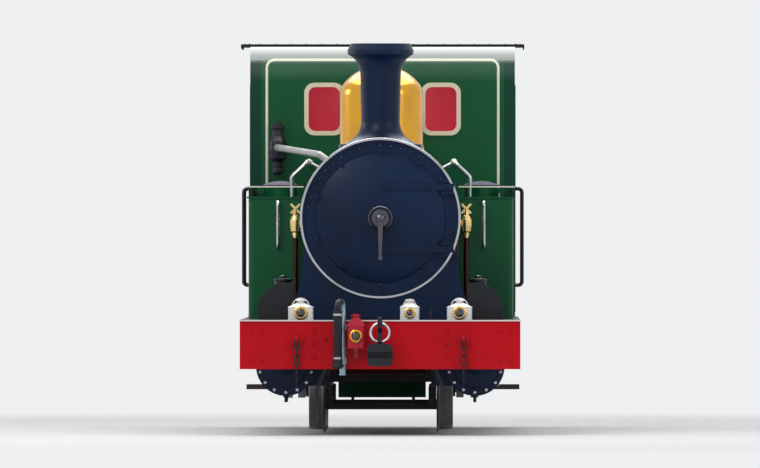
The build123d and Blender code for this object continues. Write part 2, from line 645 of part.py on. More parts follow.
# Axleboxes in the frame windows, each bored for its journal
with BuildPart() as axleboxes:
    box_bottom = FLANGE_DEPTH + HORN_BOTTOM_H + SEAT_GAP
    for side in SIDES.values():
        for y in AXLE_YS:
            slab(side * (FRAME_X - 40), side * (WHEEL_INNER_X - RUNNING_GAP), y - HORN_WIDTH / 2 + SEAT_GAP,
                 y + HORN_WIDTH / 2 - SEAT_GAP, box_bottom, AXLE_Z + 120)
            round_along_x(y, AXLE_Z, side * (FRAME_X - 40), side * (WHEEL_INNER_X - RUNNING_GAP),
                          AXLE_RADIUS + JOURNAL_PLAY, Mode.SUBTRACT)
save(axleboxes, "axleboxes")

# Leaf springs under the frames: bowed leaves, a buckle round the middle and a hanger at each end
LEAF_COUNT = 6
LEAF_THICKNESS = 12
LEAF_STEP = 0.15
SPRING_LENGTH = 800
SPRING_BOW = 36
SPRING_DROP = 40
SPRING_INNER_X = FRAME_X - 14
SPRING_OUTER_X = FRAME_OUTER_X + 12
BUCKLE_LENGTH = 96
BUCKLE_WALL = 12
HANGER_SETBACK = 20
HANGER_WIDTH = 32
with BuildPart() as springs:
    frame_bottom = FLANGE_DEPTH + FRAME_BOTTOM_H
    bow_radius = (SPRING_LENGTH ** 2 / 4 + SPRING_BOW ** 2) / (2 * SPRING_BOW)
    bow_centre_z = frame_bottom - SPRING_DROP - SPRING_BOW + bow_radius
    for side in SIDES.values():
        for y in AXLE_YS:
            with BuildSketch(beside(side * SPRING_INNER_X)) as leaves:
                for leaf in range(LEAF_COUNT):
                    half = SPRING_LENGTH / 2 * (1 - LEAF_STEP * leaf)
                    top_radius = bow_radius + leaf * LEAF_THICKNESS
                    low_radius = top_radius + LEAF_THICKNESS
                    with BuildLine():
                        edge_top = bow_centre_z - sqrt(top_radius ** 2 - half ** 2)
                        edge_low = bow_centre_z - sqrt(low_radius ** 2 - half ** 2)
                        ThreePointArc((y - half, edge_top), (y, bow_centre_z - top_radius),
                                      (y + half, edge_top))
                        Line((y + half, edge_top), (y + half, edge_low))
                        ThreePointArc((y + half, edge_low), (y, bow_centre_z - low_radius),
                                      (y - half, edge_low))
                        Line((y - half, edge_low), (y - half, edge_top))
                    make_face()
            extrude(leaves.sketch, amount=side * (SPRING_OUTER_X - SPRING_INNER_X))
            buckle_bottom = bow_centre_z - bow_radius - LEAF_COUNT * LEAF_THICKNESS - BUCKLE_WALL
            slab(side * (SPRING_INNER_X - 6), side * (SPRING_OUTER_X + 2), y - BUCKLE_LENGTH / 2,
                 y + BUCKLE_LENGTH / 2, buckle_bottom, frame_bottom)
            for end in (-1, 1):
                hanger_y = y + end * (SPRING_LENGTH / 2 - HANGER_SETBACK)
                slab(side * FRAME_X, side * FRAME_OUTER_X, hanger_y - HANGER_WIDTH / 2,
                     hanger_y + HANGER_WIDTH / 2,
                     frame_bottom - SPRING_DROP - 8, frame_bottom)
save(springs, "springs")

# Coupling rods: three eyes joined by fluted bars, one rod each side, with an oil cup on each eye
OIL_CUP = [
    # radius, height above its seat
    (22, 0),
    (22, 12),
    (12, 15),
    (12, 20),
]
for side_name, side in SIDES.items():
    x0 = side * COUPLING_ROD_X
    with BuildPart() as coupling_rod:
        rod_y, rod_z = crank_place(side_name, 0)
        slab(x0 + side * 8, side * (COUPLING_ROD_OUTER_X - 8), rod_y - AXLE_SPACING, rod_y + AXLE_SPACING,
             rod_z - ROD_DEPTH / 2, rod_z + ROD_DEPTH / 2)
        flute_outer = side * (COUPLING_ROD_OUTER_X - 8)
        for middle in (-AXLE_SPACING / 2, AXLE_SPACING / 2):
            with BuildSketch(beside(flute_outer)) as flute:
                with Locations((rod_y + middle, rod_z)):
                    SlotOverall(AXLE_SPACING - 2 * EYE_RADIUS - 120, ROD_DEPTH - 40)
            extrude(flute.sketch, amount=-side * 12, mode=Mode.SUBTRACT)
        for y in AXLE_YS:
            round_along_x(rod_y + y, rod_z, x0, side * COUPLING_ROD_OUTER_X, EYE_RADIUS)
            round_along_x(rod_y + y, rod_z, x0, side * COUPLING_ROD_OUTER_X,
                          CRANK_PIN_RADIUS + JOURNAL_PLAY, Mode.SUBTRACT)
            turned_up(side * (COUPLING_ROD_X + COUPLING_ROD_THICKNESS / 2), rod_y + y,
                      rod_z + EYE_RADIUS - 6, OIL_CUP)
    save(coupling_rod, f"{side_name}_coupling_rod")

# Crossheads with their piston rods, and the connecting rods from crosshead to big end
GUDGEON_RADIUS = 32
SLIPPER_GAP = 1
CHEEK_THICKNESS = 30
PISTON_ROD_LENGTH = 700
FLUTE_START = 190
FLUTE_START_HALF = 18
FLUTE_END_HALF = 30
FLUTE_DEPTH = 12
COTTER_THICKNESS = 18
COTTER_HALF_LENGTH = 100
for side_name, side in SIDES.items():
    crank_y, crank_z = crank_place(side_name, 0)
    rise = crank_z - AXLE_Z
    gudgeon_y = crank_y - sqrt(CONNECTING_ROD_LENGTH ** 2 - rise ** 2)
    rod_angle = degrees(asin(rise / CONNECTING_ROD_LENGTH))
    half_head = CROSSHEAD_LENGTH / 2
    fork_half = CONNECTING_ROD_THICKNESS / 2 + 2
    head_half_width = fork_half + CHEEK_THICKNESS
    block_front = gudgeon_y - half_head
    with BuildPart() as crosshead:
        slipper_top = SLIDE_BAR_HALF_GAP - SLIPPER_GAP
        slab(side * (CYLINDER_X - head_half_width), side * (CYLINDER_X + head_half_width), block_front,
             gudgeon_y + half_head,
             AXLE_Z - 70, AXLE_Z + 70)
        for sign in (-1, 1):
            slab(side * (CYLINDER_X - SLIDE_BAR_WIDTH / 2), side * (CYLINDER_X + SLIDE_BAR_WIDTH / 2),
                 block_front,
                 block_front + 70, AXLE_Z + sign * 60, AXLE_Z + sign * slipper_top)
            slab(side * (CYLINDER_X - SLIDE_BAR_WIDTH / 2), side * (CYLINDER_X + SLIDE_BAR_WIDTH / 2),
                 block_front - 50,
                 gudgeon_y + half_head + 10, AXLE_Z + sign * (slipper_top - 36), AXLE_Z + sign * slipper_top)
        slab(side * (CYLINDER_X - fork_half), side * (CYLINDER_X + fork_half), gudgeon_y - EYE_RADIUS + 12,
             gudgeon_y + half_head, AXLE_Z - 70, AXLE_Z + 70, Mode.SUBTRACT)
        round_along_x(gudgeon_y, AXLE_Z, side * (CYLINDER_X - fork_half), side * (CYLINDER_X + fork_half),
                      GUDGEON_RADIUS)
        turned_along_y(side * CYLINDER_X, block_front, AXLE_Z, -1, [(52, 0), (42, 30)])
        gudgeon_face = side * (CYLINDER_X + head_half_width)
        round_along_x(gudgeon_y, AXLE_Z, gudgeon_face, gudgeon_face + side * 8, 50)
        round_along_x(gudgeon_y, AXLE_Z, gudgeon_face + side * 8, gudgeon_face + side * 26, 26)
        round_along_y(side * CYLINDER_X, AXLE_Z, block_front - PISTON_ROD_LENGTH, block_front,
                      PISTON_ROD_RADIUS)
    save(crosshead, f"{side_name}_crosshead")

    rod_line = Plane(origin=(side * (CYLINDER_X - CONNECTING_ROD_THICKNESS / 2), gudgeon_y, AXLE_Z),
                     x_dir=(0, cos(radians(rod_angle)), sin(radians(rod_angle))), z_dir=(1, 0, 0))
    with BuildPart() as connecting_rod:
        with BuildSketch(rod_line) as shank:
            with BuildLine():
                Polyline(
                    (0, 32),
                    (CONNECTING_ROD_LENGTH, 50),
                    (CONNECTING_ROD_LENGTH, -50),
                    (0, -32),
                    close=True,
                )
            make_face()
        extrude(shank.sketch, amount=side * CONNECTING_ROD_THICKNESS)
        with BuildSketch(rod_line) as ends:
            Circle(EYE_RADIUS - 30)
            with Locations((CONNECTING_ROD_LENGTH, 0)):
                RectangleRounded(230, 190, 30)
        extrude(ends.sketch, amount=side * CONNECTING_ROD_THICKNESS)
        with BuildSketch(rod_line.offset(side * CONNECTING_ROD_THICKNESS)) as flute:
            with BuildLine():
                Polyline(
                    (FLUTE_START, FLUTE_START_HALF),
                    (CONNECTING_ROD_LENGTH - FLUTE_START, FLUTE_END_HALF),
                    (CONNECTING_ROD_LENGTH - FLUTE_START, -FLUTE_END_HALF),
                    (FLUTE_START, -FLUTE_START_HALF),
                    close=True,
                )
            make_face()
        extrude(flute.sketch, amount=-side * FLUTE_DEPTH, mode=Mode.SUBTRACT)
        with BuildSketch(rod_line.offset((side * CONNECTING_ROD_THICKNESS - COTTER_THICKNESS) / 2)) as cotter:
            with Locations((CONNECTING_ROD_LENGTH - 150, 0)):
                Trapezoid(46, 2 * COTTER_HALF_LENGTH, 92, rotation=180)
        extrude(cotter.sketch, amount=COTTER_THICKNESS)
        with BuildSketch(rod_line) as eye:
            Circle(GUDGEON_RADIUS + JOURNAL_PLAY)
        extrude(eye.sketch, amount=side * CONNECTING_ROD_THICKNESS, mode=Mode.SUBTRACT)
        journal_inner = side * STUB_X
        journal_outer = side * (CYLINDER_X + CONNECTING_ROD_THICKNESS / 2 + 14)
        round_along_x(crank_y, crank_z, journal_inner, journal_outer, CRANK_PIN_RADIUS + 6)
    save(connecting_rod, f"{side_name}_connecting_rod")

# Brake gear: a hanger and block behind each wheel, cross beams, and two pull rods that lead back
# to the arms of a shaft across the frames
BRAKE_GAP = 8
BRAKE_BEAM_Z = FLANGE_DEPTH + 150
BRAKE_SHAFT_Z = FLANGE_DEPTH + 420
PULL_ROD_X = 240
PULL_ROD_RADIUS = 17
with BuildPart() as brake_gear:
    block_x = WHEEL_INNER_X + FLANGE_WIDTH + 50
    for y in AXLE_YS:
        block_front = y + tread_radius + BRAKE_GAP
        for side in SIDES.values():
            with BuildSketch(beside(side * (block_x - 38))) as block:
                with Locations((y, AXLE_Z)):
                    Circle(tread_radius + BRAKE_GAP + 45)
                    Circle(tread_radius + BRAKE_GAP, mode=Mode.SUBTRACT)
                    with Locations((tread_radius + 60, -30)):
                        Rectangle(220, 290, mode=Mode.INTERSECT)
            extrude(block.sketch, amount=side * 76)
            hanger_x = side * (block_x - 10)
            slab(hanger_x, hanger_x + side * 20, block_front + 30, block_front + 80, BRAKE_BEAM_Z,
                 PLATE_BOTTOM_Z - 40)
            slab(side * FRAME_OUTER_X, hanger_x + side * 20, block_front + 30, block_front + 80,
                 PLATE_BOTTOM_Z - 90, PLATE_BOTTOM_Z - 40)
        slab(-block_x, block_x, block_front + 40, block_front + 75, BRAKE_BEAM_Z, BRAKE_BEAM_Z + 50)
    pull_rod_start = AXLE_YS[0] + tread_radius + BRAKE_GAP + 57
    pull_rod_end = CAB_REAR_Y - 300
    for side in SIDES.values():
        round_along_y(side * PULL_ROD_X, BRAKE_BEAM_Z + 25, pull_rod_start, pull_rod_end, PULL_ROD_RADIUS)
        slab(side * (PULL_ROD_X - 12), side * (PULL_ROD_X + 12), pull_rod_end - 20, pull_rod_end + 20,
             BRAKE_BEAM_Z - 10, BRAKE_SHAFT_Z)
    round_along_x(pull_rod_end, BRAKE_SHAFT_Z, -FRAME_X, FRAME_X, 34)
save(brake_gear, "brake_gear")

# Smokebox: a hollow drum with a ring plate in front, a back plate and the hole under the chimney
SMOKEBOX_RING_PROUD = 8
SMOKEBOX_RING_WIDTH = 60
HINGE_PIN_RADIUS = 14
hinge_y = SMOKEBOX_FRONT_Y - 32
with BuildPart() as smokebox:
    round_along_y(0, BOILER_Z, SMOKEBOX_FRONT_Y, SMOKEBOX_FRONT_Y + SMOKEBOX_RING_WIDTH,
                  SMOKEBOX_RADIUS + SMOKEBOX_RING_PROUD)
    round_along_y(0, BOILER_Z, SMOKEBOX_FRONT_Y, SMOKEBOX_REAR_Y, SMOKEBOX_RADIUS)
    round_along_y(0, BOILER_Z, SMOKEBOX_FRONT_Y + SMOKEBOX_WALL, SMOKEBOX_REAR_Y - SMOKEBOX_WALL,
                  SMOKEBOX_RADIUS - SMOKEBOX_WALL, Mode.SUBTRACT)
    round_along_y(0, BOILER_Z, SMOKEBOX_FRONT_Y, SMOKEBOX_FRONT_Y + SMOKEBOX_WALL, DOOR_OPENING_RADIUS,
                  Mode.SUBTRACT)
    round_along_z(0, CHIMNEY_Y, BOILER_Z + SMOKEBOX_RADIUS / 2, BOILER_Z + SMOKEBOX_RADIUS, CHIMNEY_BORE,
                  Mode.SUBTRACT)
    for sign in (-1, 1):
        strap_z = BOILER_Z + sign * DOOR_STRAP_H
        for offset in (-45, 45):
            lug_inner_x = sqrt(SMOKEBOX_RADIUS ** 2 - DOOR_STRAP_H ** 2) - 90
            slab(lug_inner_x, DOOR_HINGE_X + 20, hinge_y - 20, SMOKEBOX_FRONT_Y, strap_z + offset - 12,
                 strap_z + offset + 12)
        round_along_z(DOOR_HINGE_X, hinge_y, strap_z - 57, strap_z + 57, HINGE_PIN_RADIUS)
save(smokebox, "smokebox")

# Smokebox door: a dished disc with two flat straps that follow its dish and reach out to
# knuckles on the hinge pins
STRAP_HEIGHT = 52
STRAP_THICKNESS = 12
STRAP_START_X = 20
KNUCKLE_RADIUS = 24
with BuildPart() as smokebox_door:
    dish_radius = (DOOR_RADIUS ** 2 + DOOR_DISH ** 2) / (2 * DOOR_DISH)
    door_back = SMOKEBOX_FRONT_Y - SEAT_GAP
    rim_y = door_back - DOOR_RIM
    crown_y = rim_y - DOOR_DISH
    with BuildSketch(Plane.XY) as section:
        with BuildLine():
            Line((0, 0), (DOOR_RADIUS, 0))
            Line((DOOR_RADIUS, 0), (DOOR_RADIUS, -DOOR_RIM))
            half_way_y = -DOOR_RIM - DOOR_DISH + dish_radius - sqrt(dish_radius ** 2 - DOOR_RADIUS ** 2 / 4)
            ThreePointArc((DOOR_RADIUS, -DOOR_RIM), (DOOR_RADIUS / 2, half_way_y),
                          (0, -DOOR_RIM - DOOR_DISH))
            Line((0, -DOOR_RIM - DOOR_DISH), (0, 0))
        make_face()
    disc = section.sketch.moved(Location((0, door_back, BOILER_Z)))
    revolve(disc, axis=Axis((0, door_back, BOILER_Z), (0, 1, 0)))
    dish_centre_y = crown_y + dish_radius
    strap_arc_radius = sqrt(dish_radius ** 2 - DOOR_STRAP_H ** 2) + STRAP_THICKNESS
    strap_end_x = sqrt(DOOR_RADIUS ** 2 - DOOR_STRAP_H ** 2) - 10
    for sign in (-1, 1):
        strap_z = BOILER_Z + sign * DOOR_STRAP_H
        with BuildSketch(level(strap_z - STRAP_HEIGHT / 2)) as strap:
            with BuildLine():
                start_outer = (STRAP_START_X,
                               dish_centre_y - sqrt(strap_arc_radius ** 2 - STRAP_START_X ** 2))
                bow_x = (STRAP_START_X + strap_end_x) / 2
                bow = (bow_x, dish_centre_y - sqrt(strap_arc_radius ** 2 - bow_x ** 2))
                end_outer = (strap_end_x, dish_centre_y - sqrt(strap_arc_radius ** 2 - strap_end_x ** 2))
                ThreePointArc(start_outer, bow, end_outer)
                Polyline(
                    end_outer,
                    (DOOR_HINGE_X, hinge_y - KNUCKLE_RADIUS),
                    (DOOR_HINGE_X, hinge_y - KNUCKLE_RADIUS + STRAP_THICKNESS + 8),
                    (DOOR_RADIUS - 30, rim_y + 8),
                    (STRAP_START_X, rim_y + 8),
                    start_outer,
                )
            make_face()
        extrude(strap.sketch, amount=STRAP_HEIGHT)
        round_along_z(DOOR_HINGE_X, hinge_y, strap_z - STRAP_HEIGHT / 2, strap_z + STRAP_HEIGHT / 2,
                      KNUCKLE_RADIUS)
        round_along_z(DOOR_HINGE_X, hinge_y, strap_z - STRAP_HEIGHT / 2, strap_z + STRAP_HEIGHT / 2,
                      HINGE_PIN_RADIUS + JOURNAL_PLAY, Mode.SUBTRACT)
save(smokebox_door, "smokebox_door")

# Door fastening: a boss with a dished wheel and a tapered handle that hangs down
DART_WHEEL_RADIUS = 93
DART_WHEEL = [
    # radius, reach from the door
    (54, 0),
    (46, 30),
    (DART_WHEEL_RADIUS - 8, 30),
    (DART_WHEEL_RADIUS, 38),
    (DART_WHEEL_RADIUS, 56),
    (DART_WHEEL_RADIUS - 8, 64),
    (DART_WHEEL_RADIUS - 20, 56),
    (DART_WHEEL_RADIUS - 26, 44),
    (34, 44),
    (28, 104),
    (10, 112),
]
HANDLE_LENGTH = 320
with BuildPart() as door_handles:
    dart_back = crown_y - SEAT_GAP
    turned_along_y(0, dart_back, BOILER_Z, -1, DART_WHEEL)
    with BuildSketch(facing(dart_back - 76)) as handle:
        with BuildLine():
            Polyline(
                (-22, BOILER_Z),
                (22, BOILER_Z),
                (11, BOILER_Z - HANDLE_LENGTH + 40),
                (16, BOILER_Z - HANDLE_LENGTH + 10),
                (10, BOILER_Z - HANDLE_LENGTH),
                (-10, BOILER_Z - HANDLE_LENGTH),
                (-16, BOILER_Z - HANDLE_LENGTH + 10),
                (-11, BOILER_Z - HANDLE_LENGTH + 40),
                close=True,
            )
        make_face()
    extrude(handle.sketch, amount=20)
save(door_handles, "door_handles")

# Smokebox saddle and the wing plate that flares down to the running plate in front of it
WING_THICKNESS = 14
SADDLE_HALF_WIDTH = 440
with BuildPart() as smokebox_saddle:
    with BuildSketch(facing(SMOKEBOX_FRONT_Y + WING_THICKNESS)) as block:
        with Locations((0, (PLATE_TOP_Z + BOILER_Z - 200) / 2)):
            Rectangle(2 * SADDLE_HALF_WIDTH, BOILER_Z - 200 - PLATE_TOP_Z)
    extrude(block.sketch, amount=-(SMOKEBOX_REAR_Y - SMOKEBOX_FRONT_Y - 100))
    with BuildSketch(facing(SMOKEBOX_FRONT_Y)) as wing:
        with BuildLine():
            flare_top_z = BOILER_Z - 120
            flare_top_x = sqrt(SMOKEBOX_RADIUS ** 2 - 120 ** 2)
            Polyline((-flare_top_x, flare_top_z), (flare_top_x, flare_top_z))
            ThreePointArc((flare_top_x, flare_top_z), (flare_top_x + 10, BOILER_Z - 430),
                          (SMOKEBOX_RADIUS + 110, PLATE_TOP_Z))
            Line((SMOKEBOX_RADIUS + 110, PLATE_TOP_Z), (-SMOKEBOX_RADIUS - 110, PLATE_TOP_Z))
            ThreePointArc((-SMOKEBOX_RADIUS - 110, PLATE_TOP_Z), (-flare_top_x - 10, BOILER_Z - 430),
                          (-flare_top_x, flare_top_z))
        make_face()
    extrude(wing.sketch, amount=-WING_THICKNESS)
    round_along_y(0, BOILER_Z, SMOKEBOX_FRONT_Y, SMOKEBOX_REAR_Y, SMOKEBOX_RADIUS + SEAT_GAP, Mode.SUBTRACT)
    round_along_y(0, BOILER_Z, SMOKEBOX_FRONT_Y, SMOKEBOX_FRONT_Y + SMOKEBOX_RING_WIDTH + SEAT_GAP,
                  SMOKEBOX_RADIUS + SMOKEBOX_RING_PROUD + SEAT_GAP, Mode.SUBTRACT)
save(smokebox_saddle, "smokebox_saddle")

# Chimney: a flared base on the smokebox, a body that widens upwards and a rolled cap
with BuildPart() as chimney:
    smokebox_top = BOILER_Z + SMOKEBOX_RADIUS
    chimney_top = FLANGE_DEPTH + CHIMNEY_TOP_H
    with BuildSketch(Plane.XZ) as section:
        with BuildLine():
            Polyline(
                (CHIMNEY_BORE, smokebox_top - 90),
                (320, smokebox_top - 90),
                (320, smokebox_top - 40),
            )
            ThreePointArc((320, smokebox_top - 40), (195, smokebox_top + 18),
                          (CHIMNEY_RADIUS, smokebox_top + 130))
            Line((CHIMNEY_RADIUS, smokebox_top + 130), (CHIMNEY_RADIUS + 11, chimney_top - 210))
            ThreePointArc((CHIMNEY_RADIUS + 11, chimney_top - 210), (184, chimney_top - 140),
                          (CHIMNEY_CAP_RADIUS, chimney_top - 82))
            Polyline(
                (CHIMNEY_CAP_RADIUS, chimney_top - 82),
                (CHIMNEY_CAP_RADIUS, chimney_top - 48),
                (CHIMNEY_CAP_RADIUS - 26, chimney_top),
                (CHIMNEY_BORE + 20, chimney_top),
                (CHIMNEY_BORE, chimney_top - 60),
                (CHIMNEY_BORE, smokebox_top - 90),
            )
        make_face()
    stack = section.sketch.moved(Location((0, CHIMNEY_Y, 0)))
    revolve(stack, axis=Axis((0, CHIMNEY_Y, 0), (0, 0, 1)))
    round_along_y(0, BOILER_Z, CHIMNEY_Y - 400, CHIMNEY_Y + 400, SMOKEBOX_RADIUS + SEAT_GAP, Mode.SUBTRACT)
save(chimney, "chimney")

# Boiler: the clad barrel with its bands, the backhead in the cab, the firebox between the frames
# and the ashpan under it
BAND_WIDTH = 60
BAND_THICKNESS = 4
with BuildPart() as boiler:
    round_along_y(0, BOILER_Z, SMOKEBOX_REAR_Y, BACKHEAD_Y, BOILER_RADIUS)
    for band_y in (SMOKEBOX_REAR_Y + 50, SMOKEBOX_REAR_Y + 850, SMOKEBOX_REAR_Y + 2150, CAB_FRONT_Y - 70):
        round_along_y(0, BOILER_Z, band_y - BAND_WIDTH / 2, band_y + BAND_WIDTH / 2,
                      BOILER_RADIUS + BAND_THICKNESS)
    firebox_y0 = FRONT_Y + FIREBOX_FRONT_STATION
    firebox_y1 = FRONT_Y + FIREBOX_REAR_STATION
    slab(-FIREBOX_WIDTH / 2, FIREBOX_WIDTH / 2, firebox_y0, firebox_y1, FLANGE_DEPTH + 450, BOILER_Z - 300)
    with BuildSketch(beside(-FIREBOX_WIDTH / 2 + 30)) as pan:
        with BuildLine():
            Polyline(
                (firebox_y0 + 20, FLANGE_DEPTH + 450),
                (firebox_y1 - 20, FLANGE_DEPTH + 450),
                (firebox_y1 - 160, FLANGE_DEPTH + ASHPAN_BOTTOM_H),
                (firebox_y0 + 160, FLANGE_DEPTH + ASHPAN_BOTTOM_H),
                close=True,
            )
        make_face()
    extrude(pan.sketch, amount=FIREBOX_WIDTH - 60)
save(boiler, "boiler")

# Dome: a polished cover with a flared skirt that fits the boiler
with BuildPart() as dome:
    skirt_z = BOILER_Z + BOILER_RADIUS
    shoulder_z = FLANGE_DEPTH + DOME_SHOULDER_H
    crown_z = FLANGE_DEPTH + DOME_TOP_H
    crown_rise = crown_z - shoulder_z
    shoulder_x = DOME_RADIUS - DOME_SHOULDER_RADIUS
    crown_radius = (shoulder_x ** 2 + crown_rise ** 2 - DOME_SHOULDER_RADIUS ** 2) / 2
    crown_radius /= crown_rise - DOME_SHOULDER_RADIUS
    shoulder_angle = degrees(atan2(crown_radius - crown_rise, shoulder_x))
    with BuildSketch(Plane.XZ) as section:
        with BuildLine():
            Polyline((0, skirt_z - 160), (DOME_RADIUS + 75, skirt_z - 160),
                     (DOME_RADIUS + 75, skirt_z - 110))
            ThreePointArc((DOME_RADIUS + 75, skirt_z - 110), (DOME_RADIUS + 20, skirt_z - 50),
                          (DOME_RADIUS, skirt_z + 60))
            Line((DOME_RADIUS, skirt_z + 60), (DOME_RADIUS, shoulder_z))
            CenterArc((DOME_RADIUS - DOME_SHOULDER_RADIUS, shoulder_z), DOME_SHOULDER_RADIUS, 0,
                      shoulder_angle)
            CenterArc((0, crown_z - crown_radius), crown_radius, shoulder_angle, 90 - shoulder_angle)
            Line((0, crown_z), (0, skirt_z - 160))
        make_face()
    cover = section.sketch.moved(Location((0, DOME_Y, 0)))
    revolve(cover, axis=Axis((0, DOME_Y, 0), (0, 0, 1)))
    round_along_y(0, BOILER_Z, DOME_Y - 500, DOME_Y + 500, BOILER_RADIUS + SEAT_GAP, Mode.SUBTRACT)
save(dome, "dome")

# Safety valves and whistle on the firebox, in front of the cab: a flared pad with two columns, the
# lever across them and its spring between them, and a bell whistle
VALVE_STATION = 4150
VALVE_SPREAD = 85
VALVE_PAD = [
    # radius, height above the boiler's crown
    (190, -70),
    (180, 0),
    (140, 18),
    (122, 50),
    (130, 58),
    (130, 72),
]
VALVE_COLUMN = [
    # radius, height above the pad
    (42, 0),
    (34, 22),
    (34, 130),
    (50, 146),
    (50, 178),
    (34, 190),
    (14, 190),
    (14, 206),
]
WHISTLE_X = 230
WHISTLE_SETBACK = 200
WHISTLE = [
    # radius, height above its foot
    (26, 0),
    (16, 30),
    (16, 190),
    (34, 200),
    (42, 214),
    (42, 226),
    (12, 226),
    (12, 242),
    (38, 242),
    (38, 360),
    (26, 378),
    (10, 384),
    (10, 404),
]
valve_y = FRONT_Y + VALVE_STATION
with BuildPart() as safety_valves:
    pad_top = BOILER_Z + BOILER_RADIUS + VALVE_PAD[-1][1]
    turned_up(0, valve_y, BOILER_Z + BOILER_RADIUS, VALVE_PAD)
    for sign in (-1, 1):
        turned_up(0, valve_y + sign * VALVE_SPREAD, pad_top, VALVE_COLUMN)
    lever_z = pad_top + VALVE_COLUMN[-1][1]
    with BuildSketch(beside(-9)) as lever:
        with BuildLine():
            Polyline(
                (valve_y - VALVE_SPREAD - 40, lever_z),
                (valve_y + VALVE_SPREAD + 60, lever_z),
                (valve_y + VALVE_SPREAD + 190, lever_z + 16),
                (valve_y + VALVE_SPREAD + 190, lever_z + 28),
                (valve_y, lever_z + 34),
                (valve_y - VALVE_SPREAD - 40, lever_z + 18),
                close=True,
            )
        make_face()
    extrude(lever.sketch, amount=18)
    round_along_z(0, valve_y, pad_top, lever_z, 24)
    round_along_y(0, BOILER_Z, valve_y - 300, valve_y + 300, BOILER_RADIUS + SEAT_GAP, Mode.SUBTRACT)
    whistle_y = CAB_FRONT_Y - WHISTLE_SETBACK
    whistle_foot = BOILER_Z + sqrt(BOILER_RADIUS ** 2 - WHISTLE_X ** 2) - 20
    turned_up(WHISTLE_X, whistle_y, whistle_foot, WHISTLE)
    round_along_y(0, BOILER_Z, whistle_y - 60, whistle_y + 60, BOILER_RADIUS + SEAT_GAP, Mode.SUBTRACT)
save(safety_valves, "safety_valves")

# Side tanks, each with a beaded top edge and a filler neck that leads into it
TANK_EDGE_RADIUS = 40
TANK_BEAD = 14
FILLER_WALL = 12
FILLER_NECK_HEIGHT = 70
FILLER_HINGE_REACH = 34
FILLER_DEPTH = 300
HINGE_EAR_HALF_WIDTH = 8
HINGE_EAR_SPREAD = 34
HINGE_EAR_REACH = 13
FILLER_PIN_RADIUS = 8
FILLER_PIN_HALF_LENGTH = 42
with BuildPart() as side_tanks:
    for side in SIDES.values():
        slab(side * TANK_INNER_X, side * TANK_OUTER_X, TANK_FRONT_Y, CAB_FRONT_Y, PLATE_TOP_Z,
             TANK_TOP_Z - 12)
    fillet(side_tanks.edges().filter_by(Axis.Z).filter_by_position(Axis.Y, TANK_FRONT_Y - 1,
                                                                   TANK_FRONT_Y + 1)
           .filter_by(lambda edge: abs(edge.center().X) > TANK_INNER_X + 100), TANK_EDGE_RADIUS)
    for side in SIDES.values():
        slab(side * TANK_INNER_X, side * (TANK_OUTER_X + TANK_BEAD), TANK_FRONT_Y - TANK_BEAD, CAB_FRONT_Y,
             TANK_TOP_Z - 12, TANK_TOP_Z)
        round_along_z(side * FILLER_X, FILLER_Y, TANK_TOP_Z, TANK_TOP_Z + FILLER_NECK_HEIGHT, FILLER_RADIUS)
        round_along_z(side * FILLER_X, FILLER_Y, TANK_TOP_Z - FILLER_DEPTH, TANK_TOP_Z + FILLER_NECK_HEIGHT,
                      FILLER_RADIUS - FILLER_WALL, Mode.SUBTRACT)
        hinge_z = TANK_TOP_Z + FILLER_NECK_HEIGHT
        hinge_x = side * (FILLER_X + FILLER_RADIUS + FILLER_HINGE_REACH)
        for sign in (-1, 1):
            ear_y = FILLER_Y + sign * HINGE_EAR_SPREAD
            for inner_x, ear_top in ((side * (FILLER_X + FILLER_RADIUS - 10), hinge_z - 2),
                                     (hinge_x - side * HINGE_EAR_REACH, hinge_z + HINGE_EAR_REACH)):
                slab(inner_x, hinge_x + side * HINGE_EAR_REACH, ear_y - HINGE_EAR_HALF_WIDTH,
                     ear_y + HINGE_EAR_HALF_WIDTH,
                     hinge_z - 40, ear_top)
        round_along_z(side * FILLER_X, FILLER_Y, TANK_TOP_Z - FILLER_DEPTH,
                      TANK_TOP_Z + FILLER_NECK_HEIGHT + 20,
                      FILLER_RADIUS - FILLER_WALL, Mode.SUBTRACT)
        round_along_y(hinge_x, hinge_z, FILLER_Y - FILLER_PIN_HALF_LENGTH,
                      FILLER_Y + FILLER_PIN_HALF_LENGTH,
                      FILLER_PIN_RADIUS)
save(side_tanks, "side_tanks")

# Filler lids: shallow domes hinged on the outer side of their necks
LID_RISE = 32
lid_edge = FILLER_RADIUS + 6
lid_sphere = (lid_edge ** 2 + LID_RISE ** 2) / (2 * LID_RISE)
lid_edge_angle = degrees(atan2(lid_sphere - LID_RISE, lid_edge))
for side_name, side in SIDES.items():
    with BuildPart() as filler_lid:
        lid_bottom = hinge_z + 6
        with BuildSketch(Plane.XZ) as section:
            with BuildLine():
                Polyline((0, lid_bottom), (FILLER_RADIUS + 6, lid_bottom),
                         (FILLER_RADIUS + 6, lid_bottom + 14))
                CenterArc((0, lid_bottom + 14 + LID_RISE - lid_sphere), lid_sphere, lid_edge_angle,
                          90 - lid_edge_angle)
                Line((0, lid_bottom + 14 + LID_RISE), (0, lid_bottom))
            make_face()
        cap = section.sketch.moved(Location((side * FILLER_X, FILLER_Y, 0)))
        revolve(cap, axis=Axis((side * FILLER_X, FILLER_Y, 0), (0, 0, 1)))
        hinge_x = side * (FILLER_X + FILLER_RADIUS + FILLER_HINGE_REACH)
        slab(side * (FILLER_X + FILLER_RADIUS - 20), hinge_x, FILLER_Y - 20, FILLER_Y + 20, lid_bottom,
             lid_bottom + 12)
        round_along_y(hinge_x, hinge_z, FILLER_Y - 20, FILLER_Y + 20, 2 * FILLER_PIN_RADIUS)
        round_along_y(hinge_x, hinge_z, FILLER_Y - 20, FILLER_Y + 20, FILLER_PIN_RADIUS + JOURNAL_PLAY,
                      Mode.SUBTRACT)
    save(filler_lid, f"{side_name}_filler_lid")

